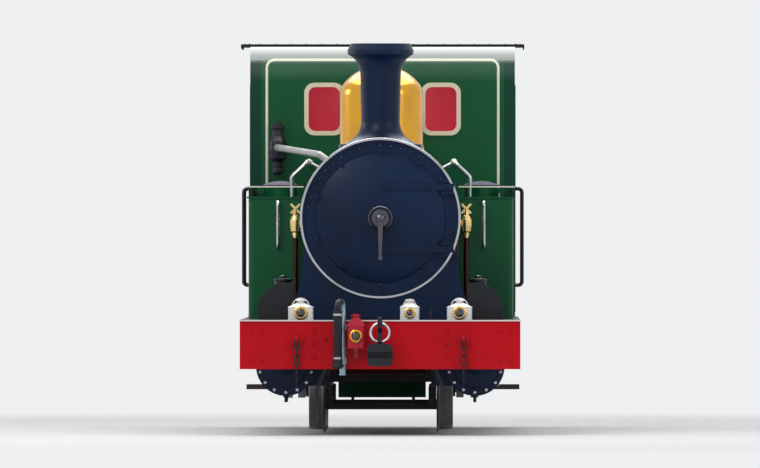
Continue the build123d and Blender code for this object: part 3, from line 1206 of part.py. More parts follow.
# Splashers over the wheels, between boiler and tanks
SPLASHER_WALL = 6
with BuildPart() as splashers:
    for side in SIDES.values():
        for y in AXLE_YS:
            with BuildSketch(beside(side * (SLOT_INNER_X + 1))) as arch:
                with Locations((y, AXLE_Z)):
                    Circle(SPLASHER_RADIUS)
                    Circle(SPLASHER_RADIUS - SPLASHER_WALL, mode=Mode.SUBTRACT)
                with Locations((y, PLATE_TOP_Z + SPLASHER_RADIUS)):
                    Rectangle(2 * SPLASHER_RADIUS, 2 * SPLASHER_RADIUS, mode=Mode.INTERSECT)
            extrude(arch.sketch, amount=side * (TANK_INNER_X - SLOT_INNER_X - 2))
            with BuildSketch(beside(side * (TANK_INNER_X - 1 - SPLASHER_WALL))) as cheek:
                with Locations((y, AXLE_Z)):
                    Circle(SPLASHER_RADIUS)
                with Locations((y, PLATE_TOP_Z + SPLASHER_RADIUS)):
                    Rectangle(2 * SPLASHER_RADIUS, 2 * SPLASHER_RADIUS, mode=Mode.INTERSECT)
            extrude(cheek.sketch, amount=side * SPLASHER_WALL)
save(splashers, "splashers")

# Sandboxes beside the smokebox, with tops that slope outwards and a round lid on each
SANDBOX_INNER_X = 660
SANDBOX_OUTER_X = 935
SANDBOX_LENGTH = 420
SANDBOX_LID = [
    # radius, height above the box's inner edge
    (62, -30),
    (62, 12),
    (70, 14),
    (70, 28),
    (24, 36),
    (24, 52),
    (10, 58),
]
with BuildPart() as sandboxes:
    box_front = SMOKEBOX_FRONT_Y + 60
    for side in SIDES.values():
        inner = side * SANDBOX_INNER_X
        outer = side * SANDBOX_OUTER_X
        with BuildSketch(facing(box_front)) as section:
            with BuildLine():
                Line((inner, PLATE_TOP_Z), (outer, PLATE_TOP_Z))
                Line((outer, PLATE_TOP_Z), (outer, PLATE_TOP_Z + 90))
                ThreePointArc((outer, PLATE_TOP_Z + 90), (outer - side * 62, PLATE_TOP_Z + 218),
                              (outer - side * 170, PLATE_TOP_Z + 280))
                Line((outer - side * 170, PLATE_TOP_Z + 280), (inner, PLATE_TOP_Z + 280))
                Line((inner, PLATE_TOP_Z + 280), (inner, PLATE_TOP_Z))
            make_face()
        extrude(section.sketch, amount=-SANDBOX_LENGTH)
        turned_up(inner + side * 85, box_front + SANDBOX_LENGTH / 2, PLATE_TOP_Z + 280, SANDBOX_LID)
save(sandboxes, "sandboxes")

# Cab front: a spectacle plate whose top is bent back to the roof
with BuildPart() as cab_front:
    bend_z = EAVES_Z - CAB_FRONT_BEND
    bend_y = CAB_FRONT_Y + CAB_FRONT_BEND
    inner_bend = CAB_FRONT_BEND - CAB_SHEET
    with BuildSketch(beside(-CAB_HALF_WIDTH)) as section:
        with BuildLine():
            Line((CAB_FRONT_Y, PLATE_TOP_Z), (CAB_FRONT_Y, bend_z))
            RadiusArc((CAB_FRONT_Y, bend_z), (bend_y, EAVES_Z), CAB_FRONT_BEND)
            Line((bend_y, EAVES_Z), (bend_y, EAVES_Z - CAB_SHEET))
            RadiusArc((bend_y, EAVES_Z - CAB_SHEET), (CAB_FRONT_Y + CAB_SHEET, bend_z), -inner_bend)
            Polyline((CAB_FRONT_Y + CAB_SHEET, bend_z), (CAB_FRONT_Y + CAB_SHEET, PLATE_TOP_Z),
                     (CAB_FRONT_Y, PLATE_TOP_Z))
        make_face()
    extrude(section.sketch, amount=2 * CAB_HALF_WIDTH)
    round_along_y(0, BOILER_Z, CAB_FRONT_Y, CAB_FRONT_Y + CAB_SHEET, BOILER_RADIUS + SEAT_GAP,
                  Mode.SUBTRACT)
    slab(-TANK_INNER_X, TANK_INNER_X, CAB_FRONT_Y, CAB_FRONT_Y + CAB_SHEET, PLATE_TOP_Z, BOILER_Z - 100,
         Mode.SUBTRACT)
    with BuildSketch(facing(CAB_FRONT_Y)) as openings:
        with Locations((-WINDOW_X, FLANGE_DEPTH + WINDOW_H), (WINDOW_X, FLANGE_DEPTH + WINDOW_H)):
            RectangleRounded(WINDOW_WIDTH, WINDOW_HEIGHT, WINDOW_CORNER)
    extrude(openings.sketch, amount=-CAB_SHEET, mode=Mode.SUBTRACT)
save(cab_front, "cab_front")

# Window frames and glass, on the cab front and the cab back
rear_window_z = FLANGE_DEPTH + WINDOW_H
WINDOWS = [
    # x, face y, way out of the cab
    (-WINDOW_X, CAB_FRONT_Y, -1),
    (WINDOW_X, CAB_FRONT_Y, -1),
    (-REAR_WINDOW_X, CAB_REAR_Y + CAB_SHEET, 1),
    (REAR_WINDOW_X, CAB_REAR_Y + CAB_SHEET, 1),
]
with BuildPart() as window_frames:
    for x, face, way in WINDOWS:
        with BuildSketch(facing(face)) as ring:
            with Locations((x, FLANGE_DEPTH + WINDOW_H)):
                RectangleRounded(WINDOW_WIDTH + 2 * WINDOW_FRAME, WINDOW_HEIGHT + 2 * WINDOW_FRAME,
                                 WINDOW_CORNER + 25)
                RectangleRounded(WINDOW_WIDTH, WINDOW_HEIGHT, WINDOW_CORNER, mode=Mode.SUBTRACT)
        extrude(ring.sketch, amount=-way * 14)
save(window_frames, "window_frames")
with BuildPart() as window_glass:
    for x, face, way in WINDOWS:
        with BuildSketch(facing(face - way * 2)) as pane:
            with Locations((x, FLANGE_DEPTH + WINDOW_H)):
                RectangleRounded(WINDOW_WIDTH - 2 * SEAT_GAP, WINDOW_HEIGHT - 2 * SEAT_GAP, WINDOW_CORNER)
        extrude(pane.sketch, amount=way * 6)
save(window_glass, "window_glass")

# Cab sides: a doorway that opens out above the waist, cut to the bend of the front
DOORWAY_FRONT_Y = CAB_FRONT_Y + 680
WAIST_Z = FLANGE_DEPTH + 1900
with BuildPart() as cab_sides:
    for side in SIDES.values():
        with BuildSketch(beside(side * (CAB_HALF_WIDTH - CAB_SHEET))) as sheet:
            with BuildLine():
                Line((CAB_FRONT_Y + CAB_SHEET, PLATE_TOP_Z), (CAB_FRONT_Y + CAB_SHEET, bend_z))
                RadiusArc((CAB_FRONT_Y + CAB_SHEET, bend_z), (bend_y, EAVES_Z - CAB_SHEET), inner_bend)
                Polyline((bend_y, EAVES_Z - CAB_SHEET), (bend_y, EAVES_Z), (CAB_REAR_Y, EAVES_Z),
                         (CAB_REAR_Y, PLATE_TOP_Z),
                         (CAB_FRONT_Y + CAB_SHEET, PLATE_TOP_Z))
            make_face()
            with Locations((DOORWAY_FRONT_Y + DOORWAY_WIDTH / 2, (FLOOR_TOP_Z + WAIST_Z + 200) / 2)):
                Rectangle(DOORWAY_WIDTH, WAIST_Z + 200 - FLOOR_TOP_Z, mode=Mode.SUBTRACT)
            with Locations((DOORWAY_FRONT_Y + DOORWAY_WIDTH / 2 - 60, (WAIST_Z + EAVES_Z - 330) / 2)):
                RectangleRounded(DOORWAY_WIDTH + 460, EAVES_Z - 330 - WAIST_Z, 120, mode=Mode.SUBTRACT)
        extrude(sheet.sketch, amount=side * CAB_SHEET)
save(cab_sides, "cab_sides")

# Cab back with two windows, over the coal bunker
with BuildPart() as cab_back:
    slab(-CAB_HALF_WIDTH, CAB_HALF_WIDTH, CAB_REAR_Y, CAB_REAR_Y + CAB_SHEET, PLATE_TOP_Z, EAVES_Z)
    with BuildSketch(facing(CAB_REAR_Y)) as openings:
        with Locations((-REAR_WINDOW_X, rear_window_z), (REAR_WINDOW_X, rear_window_z)):
            RectangleRounded(WINDOW_WIDTH, WINDOW_HEIGHT, WINDOW_CORNER)
    extrude(openings.sketch, amount=-CAB_SHEET, mode=Mode.SUBTRACT)
save(cab_back, "cab_back")

# Cab roof: a flat sheet that overhangs the sides and the back, with turned-down side edges
ROOF_RIB_WIDTH = 44
ROOF_RIB_HEIGHT = 7
with BuildPart() as cab_roof:
    slab(-ROOF_HALF_WIDTH, ROOF_HALF_WIDTH, bend_y - 20, CAB_REAR_Y + 120, EAVES_Z,
         EAVES_Z + ROOF_THICKNESS)
    for side in SIDES.values():
        slab(side * (ROOF_HALF_WIDTH - 8), side * ROOF_HALF_WIDTH, bend_y - 20, CAB_REAR_Y + 120,
             EAVES_Z - 18, EAVES_Z)
    for rib_y in (bend_y + 60, (bend_y + CAB_REAR_Y) / 2, CAB_REAR_Y + 60):
        slab(-ROOF_HALF_WIDTH, ROOF_HALF_WIDTH, rib_y - ROOF_RIB_WIDTH / 2, rib_y + ROOF_RIB_WIDTH / 2,
             EAVES_Z + ROOF_THICKNESS,
             EAVES_Z + ROOF_THICKNESS + ROOF_RIB_HEIGHT)
save(cab_roof, "cab_roof")

# Cab floor of planks, cut round the boiler and the splashers
with BuildPart() as cab_floor:
    slab(-CAB_HALF_WIDTH + CAB_SHEET, CAB_HALF_WIDTH - CAB_SHEET, CAB_FRONT_Y + CAB_SHEET, CAB_REAR_Y,
         PLATE_TOP_Z, FLOOR_TOP_Z)
    for side in SIDES.values():
        slab(side * SLOT_INNER_X, side * (TANK_INNER_X + 2), CAB_FRONT_Y, AXLE_SPACING + 430, PLATE_TOP_Z,
             FLOOR_TOP_Z, Mode.SUBTRACT)
    slab(-SLOT_INNER_X, SLOT_INNER_X, CAB_FRONT_Y, BACKHEAD_Y + 10, PLATE_TOP_Z, FLOOR_TOP_Z, Mode.SUBTRACT)
save(cab_floor, "cab_floor")

# Coal bunker: an open box behind the cab with rounded rear corners and a top that flares out on
# three sides to a beaded edge
BUNKER_WALL = 10
BUNKER_CORNER = 25
BUNKER_FLARE_HEIGHT = 150
BUNKER_SIDE_FLARE = 25
BUNKER_BEAD = 8
BUNKER_BEAD_HEIGHT = 16
bunker_y0 = CAB_REAR_Y + CAB_SHEET
bunker_y1 = REAR_Y - BEAM_THICKNESS
bunker_top = FLANGE_DEPTH + BUNKER_TOP_H


def bunker_plan(z, side_reach, back_reach):
    """The bunker's outline at a height, moved out from its lower walls by two reaches, with
    corners that widen as it goes."""
    back_y = bunker_y1 + back_reach
    with BuildSketch(level(z)) as plan:
        with Locations((0, (bunker_y0 + back_y) / 2)):
            Rectangle(2 * (BUNKER_HALF_WIDTH + side_reach), back_y - bunker_y0)
        fillet(plan.vertices().group_by(Axis.Y)[-1], BUNKER_CORNER + side_reach)
    return plan.sketch


with BuildPart() as coal_bunker:
    flare_top = bunker_top + BUNKER_FLARE_HEIGHT
    extrude(bunker_plan(PLATE_TOP_Z, 0, 0), amount=bunker_top - PLATE_TOP_Z)
    loft([bunker_plan(bunker_top, 0, 0), bunker_plan(flare_top, BUNKER_SIDE_FLARE, BUNKER_FLARE)])
    bead_foot = flare_top - BUNKER_BEAD_HEIGHT
    extrude(bunker_plan(bead_foot, BUNKER_SIDE_FLARE + BUNKER_BEAD, BUNKER_FLARE + BUNKER_BEAD),
            amount=BUNKER_BEAD_HEIGHT)
    extrude(bunker_plan(PLATE_TOP_Z + BUNKER_WALL, -BUNKER_WALL, -BUNKER_WALL),
            amount=bunker_top - PLATE_TOP_Z - BUNKER_WALL,
            mode=Mode.SUBTRACT)
    loft([bunker_plan(bunker_top, -BUNKER_WALL, -BUNKER_WALL),
          bunker_plan(flare_top, BUNKER_SIDE_FLARE - BUNKER_WALL,
                      BUNKER_FLARE - BUNKER_WALL)], mode=Mode.SUBTRACT)
save(coal_bunker, "coal_bunker")

# Cab fittings: firehole with its door, regulator, gauge glasses, a round gauge and valves on the
# backhead, the reversing lever with its quadrant, and the brake column
FIREHOLE_Z = BOILER_Z - 280
REGULATOR_Z = BOILER_Z + 330
GLASS_X = 250
FOUNTAIN_Z = BOILER_Z + 460
LEVER_X = 680
LEVER_SETBACK = 400
BRAKE_COLUMN_X = -700
# Turned forms: radius, reach from the backhead or height above the floor
FIREHOLE_RING = [(205, 0), (205, 18), (185, 30), (185, 46)]
REGULATOR_BOSS = [(80, 0), (80, 20), (46, 40), (30, 60), (30, 128)]
GAUGE_COCK = [(34, 0), (34, 12), (18, 16), (18, 92)]
VALVE_WHEEL = [(38, 0), (42, 6), (38, 14)]
ROUND_GAUGE = [(82, 0), (92, 8), (92, 36), (80, 44), (76, 36)]
BRAKE_COLUMN = [(80, 0), (80, 16), (40, 40), (30, 700), (46, 716), (46, 760), (14, 764), (14, 860)]
with BuildPart() as cab_fittings:
    turned_along_y(0, BACKHEAD_Y, FIREHOLE_Z, 1, FIREHOLE_RING)
    with BuildSketch(facing(BACKHEAD_Y + 46)) as fire_door:
        with Locations((0, FIREHOLE_Z)):
            RectangleRounded(300, 230, 60)
    extrude(fire_door.sketch, amount=-14)
    for sign in (-1, 1):
        slab(-190, 130, BACKHEAD_Y + 60, BACKHEAD_Y + 70, FIREHOLE_Z + sign * 70 - 16,
             FIREHOLE_Z + sign * 70 + 16)
    round_along_z(-190, BACKHEAD_Y + 62, FIREHOLE_Z - 100, FIREHOLE_Z + 100, 13)
    slab(-205, -175, BACKHEAD_Y, BACKHEAD_Y + 62, FIREHOLE_Z - 100, FIREHOLE_Z + 100)
    turned_along_y(0, BACKHEAD_Y, REGULATOR_Z, 1, REGULATOR_BOSS)
    with BuildSketch(facing(BACKHEAD_Y + 102)) as handle:
        with BuildLine():
            Polyline(
                (-330, REGULATOR_Z - 96),
                (-300, REGULATOR_Z - 112),
                (20, REGULATOR_Z - 24),
                (60, REGULATOR_Z + 30),
                (0, REGULATOR_Z + 26),
                close=True,
            )
        make_face()
    extrude(handle.sketch, amount=-16)
    for side in SIDES.values():
        glass_x = side * GLASS_X
        round_along_z(glass_x, BACKHEAD_Y + 62, BOILER_Z + 40, BOILER_Z + 300, 13)
        for cock_z in (BOILER_Z + 60, BOILER_Z + 280):
            turned_along_y(glass_x, BACKHEAD_Y, cock_z, 1, GAUGE_COCK)
            slab(glass_x - 20, glass_x + 20, BACKHEAD_Y + 42, BACKHEAD_Y + 82, cock_z - 22, cock_z + 22)
    round_along_x(BACKHEAD_Y + 70, FOUNTAIN_Z, -230, 230, 36)
    slab(-60, 60, BACKHEAD_Y, BACKHEAD_Y + 70, FOUNTAIN_Z - 34, FOUNTAIN_Z + 34)
    for valve_x in (-190, -65, 65, 190):
        round_along_y(valve_x, FOUNTAIN_Z, BACKHEAD_Y + 90, BACKHEAD_Y + 150, 12)
        turned_along_y(valve_x, BACKHEAD_Y + 150, FOUNTAIN_Z, 1, VALVE_WHEEL)
    turned_up(0, BACKHEAD_Y + 70, FOUNTAIN_Z + 30, [(14, 0), (14, 70)])
    turned_along_y(0, BACKHEAD_Y + 40, FOUNTAIN_Z + 170, 1, ROUND_GAUGE)
    stand_y = CAB_FRONT_Y + CAB_SHEET + LEVER_SETBACK
    with BuildSketch(beside(LEVER_X - 30)) as quadrant:
        with BuildLine():
            ThreePointArc((stand_y - 230, FLOOR_TOP_Z + 330), (stand_y, FLOOR_TOP_Z + 420),
                          (stand_y + 230, FLOOR_TOP_Z + 330))
            Polyline((stand_y + 230, FLOOR_TOP_Z + 330), (stand_y + 200, FLOOR_TOP_Z),
                     (stand_y - 200, FLOOR_TOP_Z),
                     (stand_y - 230, FLOOR_TOP_Z + 330))
        make_face()
        with Locations((stand_y, FLOOR_TOP_Z + 190)):
            SlotOverall(300, 190, mode=Mode.SUBTRACT)
    extrude(quadrant.sketch, amount=16)
    with BuildSketch(beside(LEVER_X - 14)) as lever:
        with BuildLine():
            Polyline(
                (stand_y - 30, FLOOR_TOP_Z),
                (stand_y + 30, FLOOR_TOP_Z),
                (stand_y - 92, FLOOR_TOP_Z + 950),
                (stand_y - 118, FLOOR_TOP_Z + 950),
                close=True,
            )
        make_face()
    extrude(lever.sketch, amount=18)
    round_along_z(LEVER_X - 5, stand_y - 105, FLOOR_TOP_Z + 930, FLOOR_TOP_Z + 1060, 17)
    turned_up(BRAKE_COLUMN_X, stand_y, FLOOR_TOP_Z, BRAKE_COLUMN)
    slab(BRAKE_COLUMN_X - 10, BRAKE_COLUMN_X + 190, stand_y - 12, stand_y + 12, FLOOR_TOP_Z + 850,
         FLOOR_TOP_Z + 866)
    round_along_z(BRAKE_COLUMN_X + 178, stand_y, FLOOR_TOP_Z + 850, FLOOR_TOP_Z + 960, 15)
save(cab_fittings, "cab_fittings")

# Lamps: each has a case with rounded corners, a sloping top, a chimney with a cap, a lens tube
# and a handle
LAMP_CORNER = 16
LAMP_EAVES = 6
LAMP_CHIMNEY_FOOT = 62
LAMP_CHIMNEY = [
    # radius, height above the sloping top
    (26, -10),
    (24, 10),
    (38, 14),
    (38, 22),
    (20, 30),
]


def lamp_case(x, y, foot_z, width, depth, height, slope, lens_radius):
    """A lamp that faces forwards, standing at a point."""
    eaves_z = foot_z + height
    sections = []
    for z, section_width, section_depth, corner in (
        (eaves_z + LAMP_EAVES, width + LAMP_EAVES, depth + LAMP_EAVES, LAMP_CORNER),
        (eaves_z + LAMP_EAVES + slope, LAMP_CHIMNEY_FOOT, LAMP_CHIMNEY_FOOT, LAMP_CORNER),
    ):
        with BuildSketch(level(z)) as section:
            with Locations((x, y)):
                RectangleRounded(section_width, section_depth, corner)
        sections.append(section.sketch)
    loft(sections)
    for z, grow, tall in ((foot_z, 0, height), (foot_z, LAMP_EAVES, LAMP_EAVES),
                          (eaves_z, LAMP_EAVES, LAMP_EAVES)):
        with BuildSketch(level(z)) as case:
            with Locations((x, y)):
                RectangleRounded(width + grow, depth + grow, LAMP_CORNER)
        extrude(case.sketch, amount=tall)
    chimney_z = eaves_z + LAMP_EAVES + slope
    turned_up(x, y, chimney_z, LAMP_CHIMNEY)
    lens = [
        (lens_radius + 8, 0),
        (lens_radius + 8, 14),
        (lens_radius, 18),
        (lens_radius - 5, 18),
        (lens_radius - 9, 8),
        (8, 15),
    ]
    turned_along_y(x, y - depth / 2, foot_z + height * 0.56, -1, lens)
    handle_radius = width / 3
    with BuildSketch(level(chimney_z - slope + 2)) as bar:
        with Locations((x + handle_radius, y + 8)):
            Circle(4.5)
    revolve(bar.sketch, axis=Axis((x, y + 8, chimney_z - slope + 2), (0, -1, 0)), revolution_arc=180)


# Three white lamps on the front platform
LAMP_Y = -3300
LAMP_DEPTH = 136
LAMP_HEIGHT = 92
LAMPS = [
    # x, width
    (-603, 190),
    (225, 146),
    (603, 190),
]
with BuildPart() as lamps:
    for x, width in LAMPS:
        lamp_case(x, LAMP_Y, PLATE_TOP_Z, width, LAMP_DEPTH, LAMP_HEIGHT, LAMP_HEIGHT / 3, 0.22 * width)
save(lamps, "lamps")

# Red lamp on a bracket of the front beam
RED_LAMP_X = -183
RED_LAMP_BOTTOM_H = 634
RED_LAMP_DEPTH = 116
RED_LAMP_WIDTH = 132
RED_LAMP_HEIGHT = 168
with BuildPart() as red_lamp:
    lamp_back = FRONT_Y - PLATE_NOSING - 6
    lamp_foot = FLANGE_DEPTH + RED_LAMP_BOTTOM_H
    slab(RED_LAMP_X - 20, RED_LAMP_X + 20, lamp_back - 20, FRONT_Y, lamp_foot - 74, lamp_foot)
    slab(RED_LAMP_X - 20, RED_LAMP_X + 20, lamp_back - RED_LAMP_DEPTH + 10, lamp_back, lamp_foot - 14,
         lamp_foot)
    lamp_case(RED_LAMP_X, lamp_back - RED_LAMP_DEPTH / 2, lamp_foot, RED_LAMP_WIDTH, RED_LAMP_DEPTH - 10,
              RED_LAMP_HEIGHT, RED_LAMP_HEIGHT / 3, 0.3 * RED_LAMP_WIDTH)
save(red_lamp, "red_lamp")

# Vacuum brake pipes: in front of each beam a pipe rises to a swan neck, and a hose hangs from it
# to the plug that parks its end
STANDPIPE_X = -285
STANDPIPE_REACH = 50
STANDPIPE_RADIUS = 24
HOSE_X = -320
HOSE_REACH = 128
HOSE_RADIUS = 31
NECK_TOP_H = 988
NECK_BEND = 40
HOSE_PLUG_H = 492
CLIP_HEIGHTS = (520, 780)
HOSE_HEAD = [
    # radius, height above the plug
    (46, 0),
    (46, 16),
    (36, 24),
    (36, 60),
]
with BuildPart() as vacuum_pipes:
    for end in (-1, 1):
        beam_face = end * BEAM_SPAN / 2
        pipe_y = beam_face + end * STANDPIPE_REACH
        hose_y = beam_face + end * HOSE_REACH
        neck_z = FLANGE_DEPTH + NECK_TOP_H
        plug_z = FLANGE_DEPTH + HOSE_PLUG_H
        tube_along([(STANDPIPE_X, pipe_y, FLANGE_DEPTH + 430), (STANDPIPE_X, pipe_y, neck_z),
                    (HOSE_X, hose_y, neck_z),
                    (HOSE_X, hose_y, neck_z - 110)], STANDPIPE_RADIUS, NECK_BEND)
        round_along_z(HOSE_X, hose_y, plug_z + 28, neck_z - 80, HOSE_RADIUS)
        round_along_z(HOSE_X, hose_y, neck_z - 84, neck_z - 68, HOSE_RADIUS + 6)
        turned_up(HOSE_X, hose_y, plug_z, HOSE_HEAD)
        slab(HOSE_X - 34, HOSE_X + 34, beam_face, hose_y + end * 30, plug_z - 12, plug_z)
        for clip_h in CLIP_HEIGHTS:
            slab(STANDPIPE_X - 30, STANDPIPE_X + 30, beam_face, pipe_y, FLANGE_DEPTH + clip_h,
                 FLANGE_DEPTH + clip_h + 36)
save(vacuum_pipes, "vacuum_pipes")

# Vacuum ejector on the cab front and its exhaust pipe to the smokebox
EJECTOR_X = -825
EJECTOR_SETOUT = 78
EJECTOR_BOTTOM_H = 1970
EJECTOR_BODY = [
    # radius, height
    (22, 0),
    (46, 14),
    (46, 34),
    (36, 44),
    (36, 96),
    (64, 126),
    (70, 190),
    (64, 262),
    (44, 296),
    (40, 350),
    (56, 358),
    (56, 384),
    (30, 396),
    (30, 410),
]
EJECTOR_PIPE_RADIUS = 26
with BuildPart() as ejector:
    ejector_y = CAB_FRONT_Y - EJECTOR_SETOUT
    turned_up(EJECTOR_X, ejector_y, FLANGE_DEPTH + EJECTOR_BOTTOM_H, EJECTOR_BODY)
    for bracket_h in (2030, 2300):
        slab(EJECTOR_X - 26, EJECTOR_X + 26, ejector_y, CAB_FRONT_Y, FLANGE_DEPTH + bracket_h,
             FLANGE_DEPTH + bracket_h + 30)
    pipe_start = (EJECTOR_X, ejector_y - 40, FLANGE_DEPTH + 2180)
    pipe_turn = (-470, CHIMNEY_Y + 160, FLANGE_DEPTH + 2110)
    pipe_end = (-380, CHIMNEY_Y + 110, BOILER_Z + 420)
    tube_along([pipe_start, pipe_turn, pipe_end], EJECTOR_PIPE_RADIUS, 60)
    round_along_y(0, BOILER_Z, SMOKEBOX_FRONT_Y, SMOKEBOX_REAR_Y, SMOKEBOX_RADIUS + SEAT_GAP, Mode.SUBTRACT)
save(ejector, "ejector")

# Clack valves on the boiler sides, each with a flange, a four-armed handle on top and the feed pipe
# that rises to it
CLACK_X = 655
CLACK_DROP = 38
CLACK_SETOUT = 76
CLACK_BODY = [
    # radius, height about the valve's centre
    (28, -96),
    (28, -72),
    (42, -62),
    (48, -20),
    (48, 24),
    (34, 56),
    (24, 62),
    (24, 84),
    (12, 88),
    (12, 112),
]
with BuildPart() as clack_valves:
    clack_y = TANK_FRONT_Y - CLACK_SETOUT
    clack_z = BOILER_Z - CLACK_DROP
    for side in SIDES.values():
        clack_x = side * CLACK_X
        round_along_x(clack_y, clack_z, side * (BOILER_RADIUS - 30), clack_x, 30)
        round_along_x(clack_y, clack_z, side * (BOILER_RADIUS - 30), side * (BOILER_RADIUS + 16), 50)
        turned_up(clack_x, clack_y, clack_z, CLACK_BODY)
        for turn in (45, -45):
            with BuildSketch(facing(clack_y + 6)) as arm:
                with Locations(Location((clack_x, clack_z + 112, 0), (0, 0, turn))):
                    SlotOverall(104, 17)
            extrude(arm.sketch, amount=12)
        round_along_z(clack_x, clack_y, PLATE_TOP_Z, clack_z - 80, 20)
        round_along_z(clack_x, clack_y, PLATE_TOP_Z, PLATE_TOP_Z + 26, 34)
    round_along_y(0, BOILER_Z, clack_y - 60, clack_y + 60, BOILER_RADIUS + SEAT_GAP, Mode.SUBTRACT)
save(clack_valves, "clack_valves")

# Handrails along the boiler, on the tank fronts and beside the cab doorways
RAIL_RADIUS = 16
GRAB_RADIUS = 14
POST_RADIUS = 12
BOILER_RAIL_X = 561
BOILER_RAIL_H = 2055
BOILER_RAIL_POSTS = (-1200, -100, 1000)
POST_FOOT_X = 400
FRONT_RAIL_X = 683
FRONT_RAIL_H = 1940
TANK_GRAB_X = 790
TANK_GRAB_BOTTOM_H = 1402
TANK_GRAB_TOP_H = 1747
GRAB_REACH = 58
with BuildPart() as handrails:
    for side in SIDES.values():
        rail_x = side * BOILER_RAIL_X
        rail_z = FLANGE_DEPTH + BOILER_RAIL_H
        rail_front = TANK_FRONT_Y + 90
        tube_along([(rail_x, CAB_FRONT_Y, rail_z), (rail_x, rail_front, rail_z),
                    (side * FRONT_RAIL_X, rail_front, FLANGE_DEPTH + FRONT_RAIL_H),
                    (side * FRONT_RAIL_X, rail_front, TANK_TOP_Z)], RAIL_RADIUS, 40)
        for post_y in BOILER_RAIL_POSTS:
            post_foot = BOILER_Z + sqrt(BOILER_RADIUS ** 2 - POST_FOOT_X ** 2) - 50
            tube_along([(side * POST_FOOT_X, post_y, post_foot), (rail_x, post_y, rail_z)], POST_RADIUS, 0)
        grab_x = side * TANK_GRAB_X
        grab_y = TANK_FRONT_Y - GRAB_REACH
        grab_bottom = FLANGE_DEPTH + TANK_GRAB_BOTTOM_H
        grab_top = FLANGE_DEPTH + TANK_GRAB_TOP_H
        tube_along([(grab_x, TANK_FRONT_Y, grab_bottom), (grab_x, grab_y, grab_bottom),
                    (grab_x, grab_y, grab_top), (grab_x, TANK_FRONT_Y, grab_top)], GRAB_RADIUS, 30)
        for door_y in (DOORWAY_FRONT_Y - 50, DOORWAY_FRONT_Y + DOORWAY_WIDTH + 50):
            wall_x = side * CAB_HALF_WIDTH
            door_x = side * (CAB_HALF_WIDTH + GRAB_REACH)
            tube_along([(wall_x, door_y, PLATE_TOP_Z + 250), (door_x, door_y, PLATE_TOP_Z + 250),
                        (door_x, door_y, WAIST_Z - 40), (wall_x, door_y, WAIST_Z - 40)], GRAB_RADIUS, 30)
    round_along_y(0, BOILER_Z, TANK_FRONT_Y, CAB_FRONT_Y, BOILER_RADIUS + BAND_THICKNESS + SEAT_GAP,
                  Mode.SUBTRACT)
save(handrails, "handrails")

# Cab steps: two dished treads each side on a hanging plate that narrows downwards
STEP_HANGER_SETBACK = 190
STEP_TREAD_HEIGHTS = [292, 560]
STEP_TREAD_LENGTH = 340
STEP_LIP = 26
with BuildPart() as cab_steps:
    step_y = DOORWAY_FRONT_Y + DOORWAY_WIDTH / 2
    for side in SIDES.values():
        hanger_x = side * (BEAM_WIDTH / 2 - STEP_HANGER_SETBACK)
        tread_end = side * (BEAM_WIDTH / 2 + 10)
        with BuildSketch(beside(hanger_x)) as hanger:
            with BuildLine():
                Polyline(
                    (step_y - 230, PLATE_BOTTOM_Z),
                    (step_y + 230, PLATE_BOTTOM_Z),
                    (step_y + 150, FLANGE_DEPTH + 600),
                    (step_y + 150, FLANGE_DEPTH + 280),
                    (step_y - 150, FLANGE_DEPTH + 280),
                    (step_y - 150, FLANGE_DEPTH + 600),
                    close=True,
                )
            make_face()
        extrude(hanger.sketch, amount=side * 12)
        for tread_h in STEP_TREAD_HEIGHTS:
            tread_z = FLANGE_DEPTH + tread_h
            slab(hanger_x, tread_end, step_y - STEP_TREAD_LENGTH / 2, step_y + STEP_TREAD_LENGTH / 2,
                 tread_z - 12, tread_z)
            for way in (-1, 1):
                tread_side = step_y + way * STEP_TREAD_LENGTH / 2
                slab(hanger_x, tread_end, tread_side - way * 8, tread_side, tread_z - 12,
                     tread_z + STEP_LIP)
save(cab_steps, "cab_steps")
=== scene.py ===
# %% [markdown]
# # Dressing a narrow-gauge tank engine
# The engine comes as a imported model: every sheet, wheel and rod is already at its real size and
# place, in metres, with +Z up and the smokebox facing -Y. This lesson gives each surface its finish
# and adds what is too small for the model: painted lines, rivets, pipes, lenses and trim.

# %% Load the frame
import math

import bmesh
import bpy
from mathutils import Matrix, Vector


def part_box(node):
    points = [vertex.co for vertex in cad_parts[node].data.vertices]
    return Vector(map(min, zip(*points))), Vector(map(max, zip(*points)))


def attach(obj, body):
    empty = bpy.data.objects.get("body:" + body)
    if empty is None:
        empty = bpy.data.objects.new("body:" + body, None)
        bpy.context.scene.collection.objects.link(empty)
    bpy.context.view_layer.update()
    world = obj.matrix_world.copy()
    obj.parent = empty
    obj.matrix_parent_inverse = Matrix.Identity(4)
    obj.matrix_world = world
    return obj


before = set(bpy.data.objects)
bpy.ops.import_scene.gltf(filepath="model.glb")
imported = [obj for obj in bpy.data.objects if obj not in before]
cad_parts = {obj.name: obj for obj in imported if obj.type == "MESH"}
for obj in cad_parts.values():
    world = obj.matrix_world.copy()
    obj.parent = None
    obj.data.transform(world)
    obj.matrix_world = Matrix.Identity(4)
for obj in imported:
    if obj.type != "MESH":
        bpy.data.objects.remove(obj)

scene = bpy.context.scene
scene.view_settings.view_transform = "Standard"
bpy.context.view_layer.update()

# %% [markdown]
# ## Where things are
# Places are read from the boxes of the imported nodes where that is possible, so that a piece stays on
# what carries it when the model changes. `SIDES` runs over the engine's two sides, and the few
# values that no box gives are the model's own driving sizes.

